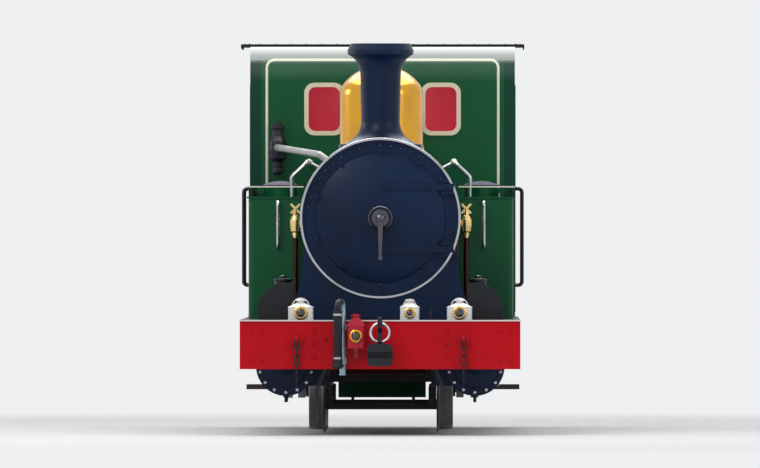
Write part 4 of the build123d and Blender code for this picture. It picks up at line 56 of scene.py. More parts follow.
# %% Places read from the frame
ROOT = "locomotive"
SIDES = (1, -1)
X, Y, Z = Vector((1, 0, 0)), Vector((0, 1, 0)), Vector((0, 0, 1))
smokebox_low, smokebox_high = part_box("smokebox")
smokebox_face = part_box("smokebox_door")[1].y
tank_low, tank_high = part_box("side_tanks")
cab_low, cab_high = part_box("cab_front")
cab_back_low, cab_back_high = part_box("cab_back")
roof_low, roof_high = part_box("cab_roof")
plate_low, plate_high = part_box("running_plate")
beam_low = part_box("buffer_beams")[0]
bunker_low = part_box("coal_bunker")[0]
wheel_low, wheel_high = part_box("driving_wheelset")
cylinder_low, cylinder_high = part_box("cylinders")
axle_z = (wheel_low.z + wheel_high.z) / 2
axle_ys = {}
for axle in ("leading", "driving", "trailing"):
    low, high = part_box(f"{axle}_wheelset")
    axle_ys[axle] = (low.y + high.y) / 2
ring_radius = (smokebox_high.x - smokebox_low.x) / 2
boiler_z = smokebox_low.z + ring_radius
PLATE_TOP = 0.878
BEAM_FACE = 3.45
BOILER_RADIUS = 0.565
TANK_INNER_X = 0.59
TANK_BEAD = 0.014
tank_face_x = tank_high.x - TANK_BEAD
tank_face_y = tank_low.y + TANK_BEAD
CAB_BEND = 0.26
bend_z = cab_high.z - CAB_BEND
CYLINDER_X = 0.72
print("axles", axle_ys, "boiler axis", round(boiler_z, 3), "smokebox face", round(smokebox_face, 3))

# %% [markdown]
# ## Building shader graphs
# A finish is a short graph of nodes. Two functions keep each finish readable: `give` fills a node's
# sockets with either a value or a link, and `add_node` makes a node with its settings and sockets.

# %% Shader helpers
def give(tree, node, sockets):
    """Fill a node's sockets, each with a value or with a link where that is another node's output."""
    for key, value in sockets.items():
        if isinstance(value, bpy.types.NodeSocket):
            tree.links.new(value, node.inputs[key])
        else:
            node.inputs[key].default_value = value


def add_node(tree, kind, sockets=None, **settings):
    """One shader node, with its settings and its sockets filled by values or links."""
    made = tree.nodes.new(kind)
    for key, value in settings.items():
        setattr(made, key, value)
    give(tree, made, sockets or {})
    return made


def start_material(name):
    """A material with its node tree and its Principled shader."""
    material = bpy.data.materials.new(name)
    material.use_nodes = True
    tree = material.node_tree
    return material, tree, tree.nodes["Principled BSDF"]


def own_place(tree):
    """The place of each point in the piece's own coordinates."""
    return add_node(tree, "ShaderNodeTexCoord").outputs["Object"]


def along(tree, place, axis):
    """One coordinate of a place."""
    return add_node(tree, "ShaderNodeSeparateXYZ", {"Vector": place}).outputs[axis]


def noise(tree, place, scale, detail, roughness=0.5):
    """Soft noise between about 0.3 and 0.7, read at a place."""
    sockets = {"Vector": place, "Scale": scale, "Detail": detail, "Roughness": roughness}
    return add_node(tree, "ShaderNodeTexNoise", sockets).outputs["Fac"]


def stretched(tree, place, scale):
    """A place with each axis scaled by itself, to draw noise out along one of them."""
    return add_node(tree, "ShaderNodeMapping", {"Vector": place, "Scale": scale}).outputs["Vector"]


def remap(tree, value, from_low, from_high, to_low=0.0, to_high=1.0):
    """A value moved from one range to another, and held inside it."""
    sockets = {"Value": value, "From Min": from_low, "From Max": from_high, "To Min": to_low,
               "To Max": to_high}
    return add_node(tree, "ShaderNodeMapRange", sockets).outputs["Result"]


def mix_colour(tree, amount, first, second):
    """The first colour where amount is 0 and the second where it is 1."""
    made = add_node(tree, "ShaderNodeMix", {0: amount, 6: first, 7: second}, data_type="RGBA",
                    clamp_factor=True)
    return made.outputs[2]


def arithmetic(tree, operation, first, second=0.0):
    """One step of arithmetic on two values or links."""
    return add_node(tree, "ShaderNodeMath", {0: first, 1: second}, operation=operation).outputs[0]


def shade_of(colour, factor=1.0):
    """A colour made darker or lighter, as RGBA."""
    return tuple(min(1.0, channel * factor) for channel in colour[:3]) + (1.0,)


def mottled(tree, colour, broad, variation):
    """A colour that drifts with broad noise between a darker and a lighter shade."""
    return mix_colour(tree, remap(tree, broad, 0.35, 0.65), shade_of(colour, 1 - variation),
                      shade_of(colour, 1 + variation))


def bump(tree, shader, height, strength, distance):
    """Relief that is too shallow to model."""
    made = add_node(tree, "ShaderNodeBump", {"Height": height, "Strength": strength, "Distance": distance})
    give(tree, shader, {"Normal": made.outputs["Normal"]})


# %% [markdown]
# ## Paint that has been polished for years
# Engine paint is brushed on, rubbed down and varnished. Up close it has slow changes of tone, a
# faint ripple from the brush, and dust that gathers low down near the wheels. One function makes
# all the paints, so that every panel has the same character and only colour and gloss change.
# The ripple is bump, because it is far too shallow to model. Inside the cab the same sheets are
# crimson: a face that looks towards the middle of the cab takes the second colour. The `DEEP` paints
# take little of the pale background into their gloss, so the green stays dark.

# %% Paint
DUST = (0.10, 0.085, 0.065, 1.0)
CAB_CENTRE = (0.0, (cab_low.y + cab_back_high.y) / 2, (PLATE_TOP + roof_low.z) / 2)


def towards_cab(tree):
    """1 on faces that look into the cab, 0 on the others."""
    coordinates = add_node(tree, "ShaderNodeTexCoord").outputs
    inward = add_node(tree, "ShaderNodeVectorMath", {0: CAB_CENTRE, 1: coordinates["Object"]},
                      operation="SUBTRACT")
    sockets = {0: inward.outputs["Vector"], 1: coordinates["Normal"]}
    facing = add_node(tree, "ShaderNodeVectorMath", sockets, operation="DOT_PRODUCT")
    return remap(tree, facing.outputs["Value"], 0.0, 0.02)


def paint(name, colour, gloss=0.28, coat=0.12, specular=0.3, variation=0.14, dust=0.5, dust_top=1.0,
          inside=None):
    """Varnished paint. Gloss is its roughness, and inside is a second colour for the cab's inner faces."""
    material, tree, shader = start_material(name)
    place = own_place(tree)
    broad = noise(tree, place, 1.7, 4.0)
    run_marks = noise(tree, stretched(tree, place, (3.0, 3.0, 0.9)), 2.0, 4.0, 0.55)
    tone = mottled(tree, colour, broad, variation)
    if inside:
        tone = mix_colour(tree, towards_cab(tree), tone, inside)
    low_down = remap(tree, along(tree, place, "Z"), 0.0, dust_top, dust, 0.0)
    dusty = arithmetic(tree, "MULTIPLY", low_down, remap(tree, run_marks, 0.3, 0.7, 0.25, 1.0))
    smooth_part = remap(tree, run_marks, 0.3, 0.7, gloss * 0.85, gloss * 1.25)
    rough = arithmetic(tree, "ADD", smooth_part, arithmetic(tree, "MULTIPLY", dusty, 0.45))
    give(tree, shader, {"Base Color": mix_colour(tree, dusty, tone, DUST), "Roughness": rough,
                        "Specular IOR Level": specular, "Coat Weight": coat, "Coat Roughness": 0.08})
    bump(tree, shader, noise(tree, place, 18.0, 2.0), 0.10, 0.0010)
    return material


GREEN = (0.0035, 0.092, 0.034)
DARK_GREEN = (0.003, 0.046, 0.026)
CRIMSON = (0.90, 0.008, 0.055, 1.0)
NAVY_BLACK = (0.0020, 0.0125, 0.045)
FRAME_BLACK = (0.008, 0.009, 0.013)
DEEP = {"coat": 0.1, "specular": 0.12}
green_paint = paint("engine green", GREEN, variation=0.1, dust=0.3, dust_top=1.15, **DEEP)
cab_paint = paint("cab green and crimson", GREEN, variation=0.1, dust=0.2, inside=CRIMSON, **DEEP)
cab_front_paint = paint("cab front green and crimson", GREEN, variation=0.1, dust=0.0, inside=CRIMSON, **DEEP)
border_paint = paint("border green", DARK_GREEN, **DEEP)
red_paint = paint("beam red", (0.50, 0.0010, 0.008), gloss=0.32, coat=0.05, specular=0.12, variation=0.1,
                  dust=0.08, dust_top=0.85)
smokebox_paint = paint("smokebox black", NAVY_BLACK, gloss=0.36, coat=0.03, specular=0.16, variation=0.3,
                       dust=0.1)
frame_paint = paint("frame black", FRAME_BLACK, gloss=0.38, coat=0.05, variation=0.25, dust_top=0.9)
lid_paint = paint("lid purple black", (0.016, 0.010, 0.050), gloss=0.5, coat=0.0, specular=0.1,
                  variation=0.2, dust=0.0)
roof_paint = paint("roof grey black", (0.020, 0.021, 0.026), gloss=0.7, coat=0.0, specular=0.12,
                   variation=0.3, dust=0.0)
cream_paint = paint("cream", (0.78, 0.70, 0.52), gloss=0.3, variation=0.06, dust=0.05)
white_paint = paint("lamp white", (0.80, 0.80, 0.78), gloss=0.3, variation=0.05, dust=0.05)
lamp_red_paint = paint("lamp red", (0.46, 0.004, 0.024), gloss=0.25, variation=0.1, dust=0.0)
# Cream for the lining, which also paints the highlight strip on the tank tops' front edges.
lining_and_highlight_paint = paint("lining and painted highlight cream", (0.80, 0.77, 0.64), gloss=0.35, coat=0.2, variation=0.05, dust=0.1)
# Rose white for the painted highlight on the platform's front and back edges.
edge_highlight_paint = paint("painted edge highlight rose white", (0.82, 0.66, 0.64), gloss=0.35, coat=0.2, variation=0.08, dust=0.0)
print("paints made")

# %% [markdown]
# ## Metals
# Handrails and rims are bright steel, the rods are darker with oil, and the dome is brass polished
# every day. Polishing leaves fine scratches that all run one way, so the noise is stretched along
# one axis before it drives roughness. Brown tarnish grows in spots where a rag doesn't reach.

# %% Metals
def metal(name, colour, polish, tarnish, tarnish_amount):
    """Bright metal with fine scratches. Polish is its roughness."""
    material, tree, shader = start_material(name)
    place = own_place(tree)
    scratches = noise(tree, stretched(tree, place, (4.0, 60.0, 60.0)), 8.0, 4.0, 0.6)
    amount = remap(tree, noise(tree, place, 5.0, 5.0, 0.6), 0.5, 0.75, 0.0, tarnish_amount)
    tone = mix_colour(tree, amount, shade_of(colour), shade_of(tarnish))
    polished = remap(tree, scratches, 0.3, 0.7, polish * 0.7, polish * 1.5)
    rough = arithmetic(tree, "ADD", polished, arithmetic(tree, "MULTIPLY", amount, 0.4))
    give(tree, shader, {"Base Color": tone, "Roughness": rough, "Metallic": 1.0})
    bump(tree, shader, scratches, 0.08, 0.0006)
    return material


brass = metal("polished brass", (0.72, 0.37, 0.045), 0.16, (0.2, 0.12, 0.05), 0.35)
steel = metal("bright steel", (0.46, 0.47, 0.50), 0.28, (0.09, 0.065, 0.05), 0.4)
rod_steel = metal("oiled rod steel", (0.30, 0.31, 0.33), 0.32, (0.05, 0.04, 0.035), 0.5)
fastening_steel = metal("worn steel", (0.10, 0.10, 0.125), 0.26, (0.02, 0.02, 0.03), 0.6)
copper = metal("copper pipe", (0.62, 0.27, 0.15), 0.3, (0.12, 0.05, 0.03), 0.6)
print("metals made")

# %% [markdown]
# ## Finishes with two materials on one solid
# A wheel is painted inside its tyre and bare steel on its tread and crank pin. The vacuum fittings
# are a steel standpipe with a rubber hose, and the standpipe's pale blue is a painted reflection of the
# sky in its steel. The boiler is green in front of the cab and black inside it. Each of these is one
# solid, so the shader decides by place which material it is. The cab front's varnish is fullest on its
# bent top, where the photograph shows the sky in it.

# %% Wheels, hoses, backhead, glass and planks
def two_part(name, amount_of, first, second, gloss, metallic):
    """A finish that is the first part where amount_of(tree, place) is 0 and the second where it is 1."""
    material, tree, shader = start_material(name)
    place = own_place(tree)
    amount = amount_of(tree, place)
    broad = noise(tree, place, 6.0, 5.0, 0.6)
    parts = [mottled(tree, colour, broad, 0.25) for colour in (first, second)]
    sheen = remap(tree, amount, 0.0, 1.0, *gloss)
    rough = arithmetic(tree, "MULTIPLY", sheen, remap(tree, broad, 0.3, 0.7, 0.75, 1.3))
    give(tree, shader, {"Base Color": mix_colour(tree, amount, *parts), "Roughness": rough,
                        "Metallic": remap(tree, amount, 0.0, 1.0, *metallic), "Specular IOR Level": 0.35})
    return material


def bare_part(axle_y):
    """1 on a wheel's tyre and crank pins, 0 on its painted spokes, rim and hub."""
    def amount(tree, place):
        centred = add_node(tree, "ShaderNodeVectorMath", {0: place, 1: (0.0, axle_y, axle_z)},
                           operation="SUBTRACT").outputs["Vector"]
        squares = [arithmetic(tree, "POWER", along(tree, centred, axis), 2.0) for axis in ("Y", "Z")]
        radius = arithmetic(tree, "SQRT", arithmetic(tree, "ADD", *squares))
        tyre = remap(tree, radius, TYRE_INNER_RADIUS, TYRE_INNER_RADIUS + 0.003)
        across = arithmetic(tree, "ABSOLUTE", along(tree, centred, "X"))
        return arithmetic(tree, "MAXIMUM", tyre, remap(tree, across, HUB_FACE_X, HUB_FACE_X + 0.001))
    return amount


def beyond(axis, start, absolute=False):
    """1 where a coordinate, or its distance from zero, is past a start."""
    def amount(tree, place):
        value = along(tree, place, axis)
        if absolute:
            value = arithmetic(tree, "ABSOLUTE", value)
        return remap(tree, value, start, start + 0.002)
    return amount


def coupling_ring(tree, place):
    """1 on the rings that hang in the coupling hooks, 0 on the rest of the couplers."""
    across = arithmetic(tree, "ABSOLUTE", along(tree, place, "X"))
    beside_hook = arithmetic(tree, "MULTIPLY", remap(tree, across, 0.0185, 0.0195),
                             remap(tree, across, 0.110, 0.115, 1.0, 0.0))
    return arithmetic(tree, "MULTIPLY", beside_hook, remap(tree, along(tree, place, "Z"), 0.7005, 0.7015))


TYRE_INNER_RADIUS = 0.433
HUB_FACE_X = 0.5715
WHEEL_RED = (0.085, 0.012, 0.009)
BARE_STEEL = (0.25, 0.25, 0.27)
HOSE_START_Y = 3.535
BACKHEAD_PAINT_Y = cab_low.y + 0.012
CLACK_VALVE_Z = 1.50
EJECTOR_Y = 1.302
LEVERS_Y = 1.74
CAB_GRABS_X = 1.030
wheel_finishes = {}
for axle, axle_y in axle_ys.items():
    wheel_finishes[axle] = two_part(f"{axle} wheel", bare_part(axle_y), WHEEL_RED, BARE_STEEL,
                                    (0.36, 0.34), (0.0, 1.0))
# The standpipe's pale blue is a painted sky reflection on its steel, and the hose is black rubber.
standpipe_sky_and_hose_finish = two_part("standpipe with painted sky reflection and hose", beyond("Y", HOSE_START_Y, True),
                       (0.34, 0.52, 0.60), (0.010, 0.012, 0.020), (0.3, 0.6), (0.5, 0.0))
feed_finish = two_part("feed pipe and clack valve", beyond("Z", CLACK_VALVE_Z),
                       (0.055, 0.022, 0.012), (0.78, 0.60, 0.26), (0.35, 0.2), (0.8, 1.0))
ejector_finish = two_part("ejector and its pipe", beyond("Y", EJECTOR_Y),
                          (0.30, 0.31, 0.30), (0.006, 0.007, 0.016), (0.4, 0.35), (0.3, 0.0))
fittings_finish = two_part("backhead brass and lever steel", beyond("Y", LEVERS_Y),
                           (0.82, 0.56, 0.17), (0.20, 0.20, 0.22), (0.22, 0.38), (1.0, 0.9))
rail_finish = two_part("bright rails and black cab grabs", beyond("X", CAB_GRABS_X, True),
                       (0.46, 0.47, 0.50), (0.010, 0.011, 0.016), (0.28, 0.4), (1.0, 0.0))
coupler_finish = two_part("coupler black and ring steel", coupling_ring,
                          (0.008, 0.010, 0.016), (0.52, 0.52, 0.55), (0.42, 0.3), (0.0, 0.9))
boiler_finish = paint("boiler green", GREEN, specular=0.2, variation=0.1, dust=0.2)
tree = boiler_finish.node_tree
shader = tree.nodes["Principled BSDF"]
painted = shader.inputs["Base Color"].links[0].from_socket
black_part = beyond("Y", BACKHEAD_PAINT_Y)(tree, own_place(tree))
give(tree, shader, {"Base Color": mix_colour(tree, black_part, painted, shade_of(FRAME_BLACK, 1.5))})

for finish in (cab_front_paint, border_paint):
    tree = finish.node_tree
    height = along(tree, own_place(tree), "Z")
    varnish = remap(tree, height, bend_z - 0.02, bend_z + 0.08, 0.1, 1.0)
    give(tree, tree.nodes["Principled BSDF"], {"Coat Weight": varnish})

glass, tree, shader = start_material("window glass")
smudges = noise(tree, own_place(tree), 9.0, 4.0)
give(tree, shader, {"Base Color": (0.96, 0.97, 0.97, 1.0), "Transmission Weight": 1.0, "IOR": 1.2,
                    "Roughness": remap(tree, smudges, 0.4, 0.7, 0.01, 0.09)})

lens_glass, tree, shader = start_material("lens glass")
smudges = noise(tree, own_place(tree), 40.0, 4.0)
dark, dusty = (0.012, 0.015, 0.020, 1.0), (0.040, 0.042, 0.045, 1.0)
give(tree, shader, {"Base Color": mix_colour(tree, remap(tree, smudges, 0.4, 0.7), dark, dusty),
                    "Roughness": remap(tree, smudges, 0.4, 0.7, 0.04, 0.16), "Coat Weight": 1.0})

planks, tree, shader = start_material("floor planks")
place = own_place(tree)
grain = noise(tree, stretched(tree, place, (30.0, 2.0, 30.0)), 3.0, 6.0, 0.65)
PLANKS_PER_METRE = 7.0
plank_count = arithmetic(tree, "MULTIPLY", along(tree, place, "X"), PLANKS_PER_METRE)
in_plank = arithmetic(tree, "SUBTRACT", arithmetic(tree, "FRACT", plank_count), 0.5)
joint = remap(tree, arithmetic(tree, "ABSOLUTE", in_plank), 0.47, 0.49)
wood = mix_colour(tree, remap(tree, grain, 0.3, 0.7), (0.10, 0.06, 0.035, 1.0), (0.26, 0.17, 0.10, 1.0))
give(tree, shader, {"Base Color": mix_colour(tree, joint, wood, (0.02, 0.015, 0.01, 1.0)),
                    "Roughness": remap(tree, grain, 0.3, 0.7, 0.55, 0.8)})
bump(tree, shader, grain, 0.3, 0.002)
print("two-part finishes, glass and planks made")

# %% [markdown]
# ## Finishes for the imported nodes
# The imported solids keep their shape, so each only needs a better material. A table of finish and
# nodes says which gets what, and one loop applies it.

# %% Give each node its finish
FINISHES = [
    (frame_paint, ["main_frames", "frame_stretchers", "springs", "brake_gear", "cab_steps", "running_plate",
                   "axleboxes", "splashers", "sandboxes"]),
    (coupler_finish, ["couplers"]),
    (red_paint, ["buffer_beams"]),
    (smokebox_paint, ["smokebox", "smokebox_door", "smokebox_saddle", "chimney", "cylinders"]),
    (lid_paint, ["left_filler_lid", "right_filler_lid"]),
    (green_paint, ["side_tanks", "coal_bunker"]),
    (boiler_finish, ["boiler"]),
    (cab_paint, ["cab_sides", "cab_back"]),
    (cab_front_paint, ["cab_front"]),
    (rail_finish, ["handrails"]),
    (roof_paint, ["cab_roof"]),
    (brass, ["dome", "safety_valves"]),
    (feed_finish, ["clack_valves"]),
    (ejector_finish, ["ejector"]),
    (fastening_steel, ["door_handles"]),
    (fittings_finish, ["cab_fittings"]),
    (standpipe_sky_and_hose_finish, ["vacuum_pipes"]),
    (rod_steel, ["slide_bars"] + [f"{hand}_{part}" for hand in ("left", "right")
                                  for part in ("crosshead", "connecting_rod", "coupling_rod")]),
    (cream_paint, ["window_frames"]),
    (glass, ["window_glass"]),
    (planks, ["cab_floor"]),
    (white_paint, ["lamps"]),
    (lamp_red_paint, ["red_lamp"]),
] + [(finish, [f"{axle}_wheelset"]) for axle, finish in wheel_finishes.items()]
finished = 0
for finish, names in FINISHES:
    for name in names:
        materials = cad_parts[name].data.materials
        materials.clear()
        materials.append(finish)
        finished += 1
print(finished, "nodes finished of", len(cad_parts))

# %% [markdown]
# ## Making pieces
# Every new piece is a bmesh that becomes one object at the origin, with its place in its mesh.
# `put` does that, and rides the object on its body. Small repeated things, such as rivets, go into
# one bmesh together, so that a thousand of them are still one piece. Round things are a profile
# spun about an axis: a rivet is the same thing with few steps, and a bolt's head with six.

# %% Piece helpers
def as_object(name, bm, material):
    """An object made of a bmesh."""
    mesh = bpy.data.meshes.new(name)
    bm.to_mesh(mesh)
    bm.free()
    mesh.materials.append(material)
    made = bpy.data.objects.new(name, mesh)
    scene.collection.objects.link(made)
    return made


def put(name, bm, material, body=ROOT):
    """Turn a bmesh into a finished piece that rides on a body."""
    bmesh.ops.remove_doubles(bm, verts=bm.verts[:], dist=1e-5)
    bmesh.ops.recalc_face_normals(bm, faces=bm.faces[:])
    piece = as_object(name, bm, material)
    piece.data.shade_smooth()
    piece.data.set_sharp_from_angle(angle=math.radians(32))
    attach(piece, body)
    print(name, len(piece.data.polygons), "faces")


def add_turned(bm, profile, origin, direction, steps):
    """A turned form: (radius, height) points spun about an axis through origin."""
    origin = Vector(origin)
    axis = direction.normalized()
    across = axis.orthogonal().normalized()
    verts = [bm.verts.new(origin + across * radius + axis * height) for radius, height in profile]
    edges = [bm.edges.new(pair) for pair in zip(verts, verts[1:])]
    bmesh.ops.spin(bm, geom=verts + edges, cent=origin, axis=axis, angle=math.tau, steps=steps,
                   use_merge=True)


def turned(name, forms, material, body=ROOT):
    """Turned forms as one piece. Each is a profile, an origin, a direction and a number of steps."""
    bm = bmesh.new()
    for form in forms:
        add_turned(bm, *form)
    put(name, bm, material, body)


def add_block(bm, low, high, bevel=0.0, segments=2):
    """A block between two corners, with its edges rounded."""
    low, high = Vector(low), Vector(high)
    verts = bmesh.ops.create_cube(bm, size=1.0)["verts"]
    bmesh.ops.scale(bm, vec=high - low, verts=verts)
    bmesh.ops.translate(bm, vec=(low + high) / 2, verts=verts)
    if bevel:
        edges = list({edge for vert in verts for edge in vert.link_edges})
        bmesh.ops.bevel(bm, geom=edges, offset=bevel, segments=segments, profile=0.5, affect="EDGES",
                        material=-1)


def add_side_block(bm, side, low, high, bevel=0.0, segments=2):
    """A block given by its corners on the right side, and mirrored where side is -1."""
    low_x, high_x = sorted((side * low[0], side * high[0]))
    add_block(bm, (low_x, *low[1:]), (high_x, *high[1:]), bevel, segments)


def hoop(inner, outer, half):
    """The profile of a hoop with a square section."""
    return [(inner, -half), (outer, -half), (outer, half), (inner, half)]


# a head's profile at a radius of 1, and its steps
RIVET = ([(1, 0), (0.8, 0.35), (0, 0.6)], 8)
SMALL_RIVET = (RIVET[0], 6)
BOLT = ([(1, 0), (1, 0.7), (0.8, 0.85), (0, 0.85)], 6)


def heads(name, head, groups, radius, material, body=ROOT):
    """Rivet or bolt heads as one piece. Each group is a list of places and the way its heads point."""
    profile = [(out * radius, up * radius) for out, up in head[0]]
    forms = [(profile, spot, direction, head[1]) for places, direction in groups for spot in places]
    turned(name, forms, material, body)


def between(start, end, pitch):
    """Evenly spaced points from start to end, about a pitch apart."""
    start, end = Vector(start), Vector(end)
    count = max(1, round((end - start).length / pitch))
    return [start.lerp(end, step / count) for step in range(count + 1)]


def circle(centre, first, second, radius, count, turn=0.0):
    """Evenly spaced points on a circle, in the plane of two directions."""
    centre = Vector(centre)
    angles = [math.tau * (step + turn) / count for step in range(count)]
    return [centre + (first * math.cos(angle) + second * math.sin(angle)) * radius for angle in angles]


def pipes(name, routes, radius, material, bend=0.05):
    """Round pipes as one piece, each through its points with the corners eased over a bend length."""
    curve = bpy.data.curves.new(name, "CURVE")
    curve.dimensions = "3D"
    curve.bevel_depth = radius
    curve.bevel_resolution = 3
    curve.use_fill_caps = True
    for route in routes:
        route = [Vector(point) for point in route]
        eased = [route[0]]
        for before, corner, after in zip(route, route[1:], route[2:]):
            for end in (before, after):
                reach = min(bend, (end - corner).length / 2)
                eased.append(corner + (end - corner).normalized() * reach)
            eased.insert(-1, corner)
        eased.append(route[-1])
        spline = curve.splines.new("NURBS")
        spline.points.add(len(eased) - 1)
        for point, spot in zip(spline.points, eased):
            point.co = (*spot, 1.0)
        spline.order_u = 3
        spline.use_endpoint_u = True
        spline.resolution_u = 5
    holder = bpy.data.objects.new(name + " route", curve)
    scene.collection.objects.link(holder)
    mesh = bpy.data.meshes.new_from_object(holder)
    bpy.data.objects.remove(holder)
    bm = bmesh.new()
    bm.from_mesh(mesh)
    bpy.data.meshes.remove(mesh)
    put(name, bm, material)


# %% [markdown]
# ## Painted lines and borders
# Each panel has a thin cream line with rounded corners, and a darker green outside it. On the real
# engine both are brush work less than a hair thick, so here they are strips less than a millimetre
# proud. Each starts flat: a grid face with its corners bevelled. An inset leaves the line, and two
# outlines bridged together leave the border. Planes cut the flat form where the sheet under it
# bends, and then a small function lays every vertex on the real surface.

# %% Lining helpers
LINE_WIDTH = 0.012
LINE_PROUD = 0.0009
BORDER_PROUD = 0.0004
PANEL_CORNER = 0.003


def join(bm, part):
    """Move a finished form into a bmesh that collects many."""
    carrier = bpy.data.meshes.new("carrier")
    part.to_mesh(carrier)
    part.free()
    bm.from_mesh(carrier)
    bpy.data.meshes.remove(carrier)


def rounded(width, height, corner):
    """A flat face about the origin with rounded corners."""
    flat = bmesh.new()
    verts = bmesh.ops.create_grid(flat, x_segments=1, y_segments=1, size=0.5)["verts"]
    bmesh.ops.scale(flat, vec=(width, height, 1), verts=verts)
    bmesh.ops.bevel(flat, geom=verts, offset=corner, segments=6, profile=0.5, affect="VERTICES",
                    material=-1)
    return flat


def outline(width, height, corner, line):
    """A flat line inside the outline of a rounded rectangle."""
    flat = rounded(width, height, corner)
    middle = flat.faces[:]
    bmesh.ops.inset_individual(flat, faces=middle, thickness=line, use_even_offset=True)
    bmesh.ops.delete(flat, geom=middle, context="FACES_ONLY")
    return flat


def everything(bm):
    """All that a bmesh holds."""
    return bm.verts[:] + bm.edges[:] + bm.faces[:]


def lay_down(bm, flat, lay, proud, cuts=()):
    """Cut a flat form at some heights, thicken it, lay it on a surface and collect it."""
    for height in cuts:
        bmesh.ops.bisect_plane(flat, geom=everything(flat), plane_co=(0, height, 0), plane_no=(0, 1, 0))
    bmesh.ops.solidify(flat, geom=everything(flat), thickness=proud)
    for vert in flat.verts:
        spot, normal = lay(vert.co.x, vert.co.y)
        vert.co = spot + normal * abs(vert.co.z)
    join(bm, flat)


def add_line(bm, lay, width, height, corner, line=LINE_WIDTH, cuts=()):
    """A painted line round a panel."""
    lay_down(bm, outline(width, height, corner, line), lay, LINE_PROUD, cuts)


def add_border(bm, lay, width, height, inset, corner, cuts=()):
    """A sheet between a panel's edge and its line."""
    flat = rounded(width, height, PANEL_CORNER)
    join(flat, rounded(width - 2 * inset, height - 2 * inset, corner))
    bmesh.ops.delete(flat, geom=flat.faces[:], context="FACES_ONLY")
    bmesh.ops.bridge_loops(flat, edges=flat.edges[:])
    lay_down(bm, flat, lay, BORDER_PROUD, cuts)


def flat_panel(centre, right, up):
    """A function that gives the place and the normal of a flat panel's points."""
    return lambda u, v: (Vector(centre) + right * u + up * v, right.cross(up))


# %% [markdown]
# ## Where the lines go
# A table gives the flat panels of tanks, cab sides and bunker, and one loop lines them on both
# sides. The cab front is a panel whose top runs onto the bend, so its function follows the arc.
# The boiler bands carry a line at each edge, which is a small profile spun round the boiler.

# %% Lining and borders
lines = bmesh.new()
borders = bmesh.new()
tank_wall_top = tank_high.z - 0.012
tank_middle_z = (PLATE_TOP + tank_wall_top) / 2
tank_height = tank_wall_top - PLATE_TOP
TANK_CORNER = 0.042
tank_length = cab_low.y - tank_face_y - TANK_CORNER
cab_side_x = cab_high.x
CAB_PANEL_Z, CAB_PANEL_HEIGHT = 1.355, 0.93
DOOR_FRONT_Y, DOOR_BACK_Y = 2.13, 2.65
BUNKER_X, BUNKER_BACK_Y, BUNKER_TOP = 1.01, 3.415, 1.878
bunker_length = BUNKER_BACK_Y - bunker_low.y - 0.03
bunker_middle_z = (PLATE_TOP + BUNKER_TOP) / 2
bunker_height = BUNKER_TOP - PLATE_TOP
SIDE_PANELS = [
    # x, middle y, middle z, length, height, inset, corner
    (tank_face_x, cab_low.y - tank_length / 2, tank_middle_z, tank_length, tank_height, 0.075, 0.06),
    (cab_side_x, (cab_low.y + DOOR_FRONT_Y) / 2, CAB_PANEL_Z,
     DOOR_FRONT_Y - cab_low.y - 0.07, CAB_PANEL_HEIGHT, 0.06, 0.05),
    (cab_side_x, (cab_back_low.y + DOOR_BACK_Y) / 2, CAB_PANEL_Z,
     cab_back_low.y - DOOR_BACK_Y - 0.06, CAB_PANEL_HEIGHT, 0.05, 0.04),
    (BUNKER_X, bunker_low.y + bunker_length / 2, bunker_middle_z, bunker_length, bunker_height, 0.055, 0.045),
]
for side in SIDES:
    for x, y, z, length, height, inset, corner in SIDE_PANELS:
        lay = flat_panel((side * x, y, z), Y * side, Z)
        add_line(lines, lay, length - 2 * inset, height - 2 * inset, corner)
        add_border(borders, lay, length, height, inset, corner)
lay = flat_panel((0, BUNKER_BACK_Y, bunker_middle_z), -X, Z)
add_line(lines, lay, 1.82, bunker_height - 0.13, 0.06)
add_border(borders, lay, 1.96, bunker_height, 0.065, 0.06)
add_line(lines, flat_panel((0, cab_back_high.y, 2.52), -X, Z), 1.90, 0.84, 0.06)


def on_cab_front(x, z):
    """The place and normal of the cab front at a height, also where its top bends back."""
    rise = min(max(0.0, z - bend_z), CAB_BEND)
    back = CAB_BEND - math.sqrt(CAB_BEND ** 2 - rise ** 2)
    return Vector((x, cab_low.y + back, z)), Vector((0, back - CAB_BEND, rise)).normalized()


LINE_X = 0.917
LINE_TOP, LINE_FOOT = 2.906, 1.55
FRONT_CORNER = 0.07
line_middle = (LINE_TOP + LINE_FOOT) / 2
bend_cuts = [bend_z + step * 0.012 - line_middle for step in range(21)]


def on_cab_panel(u, v):
    """The same, with heights from the middle of the line."""
    return on_cab_front(u, v + line_middle)


add_line(lines, on_cab_panel, 2 * LINE_X, LINE_TOP - LINE_FOOT, FRONT_CORNER, 0.020, bend_cuts)
add_border(borders, on_cab_panel, 2 * (cab_high.x - 0.002), LINE_TOP - LINE_FOOT + 0.16, 0.082,
           FRONT_CORNER, bend_cuts)
BAND_YS = (-1.98, -1.18, 0.12, 1.38)
BAND_LINE_Y = 0.023
band_edge = BOILER_RADIUS + 0.004
for band_y in BAND_YS:
    for edge in (-BAND_LINE_Y, BAND_LINE_Y):
        profile = hoop(band_edge - 0.002, band_edge + LINE_PROUD, 0.005)
        add_turned(lines, profile, (0, band_y + edge, boiler_z), Y, 72)
put("lining", lines, lining_and_highlight_paint)
put("borders", borders, border_paint)
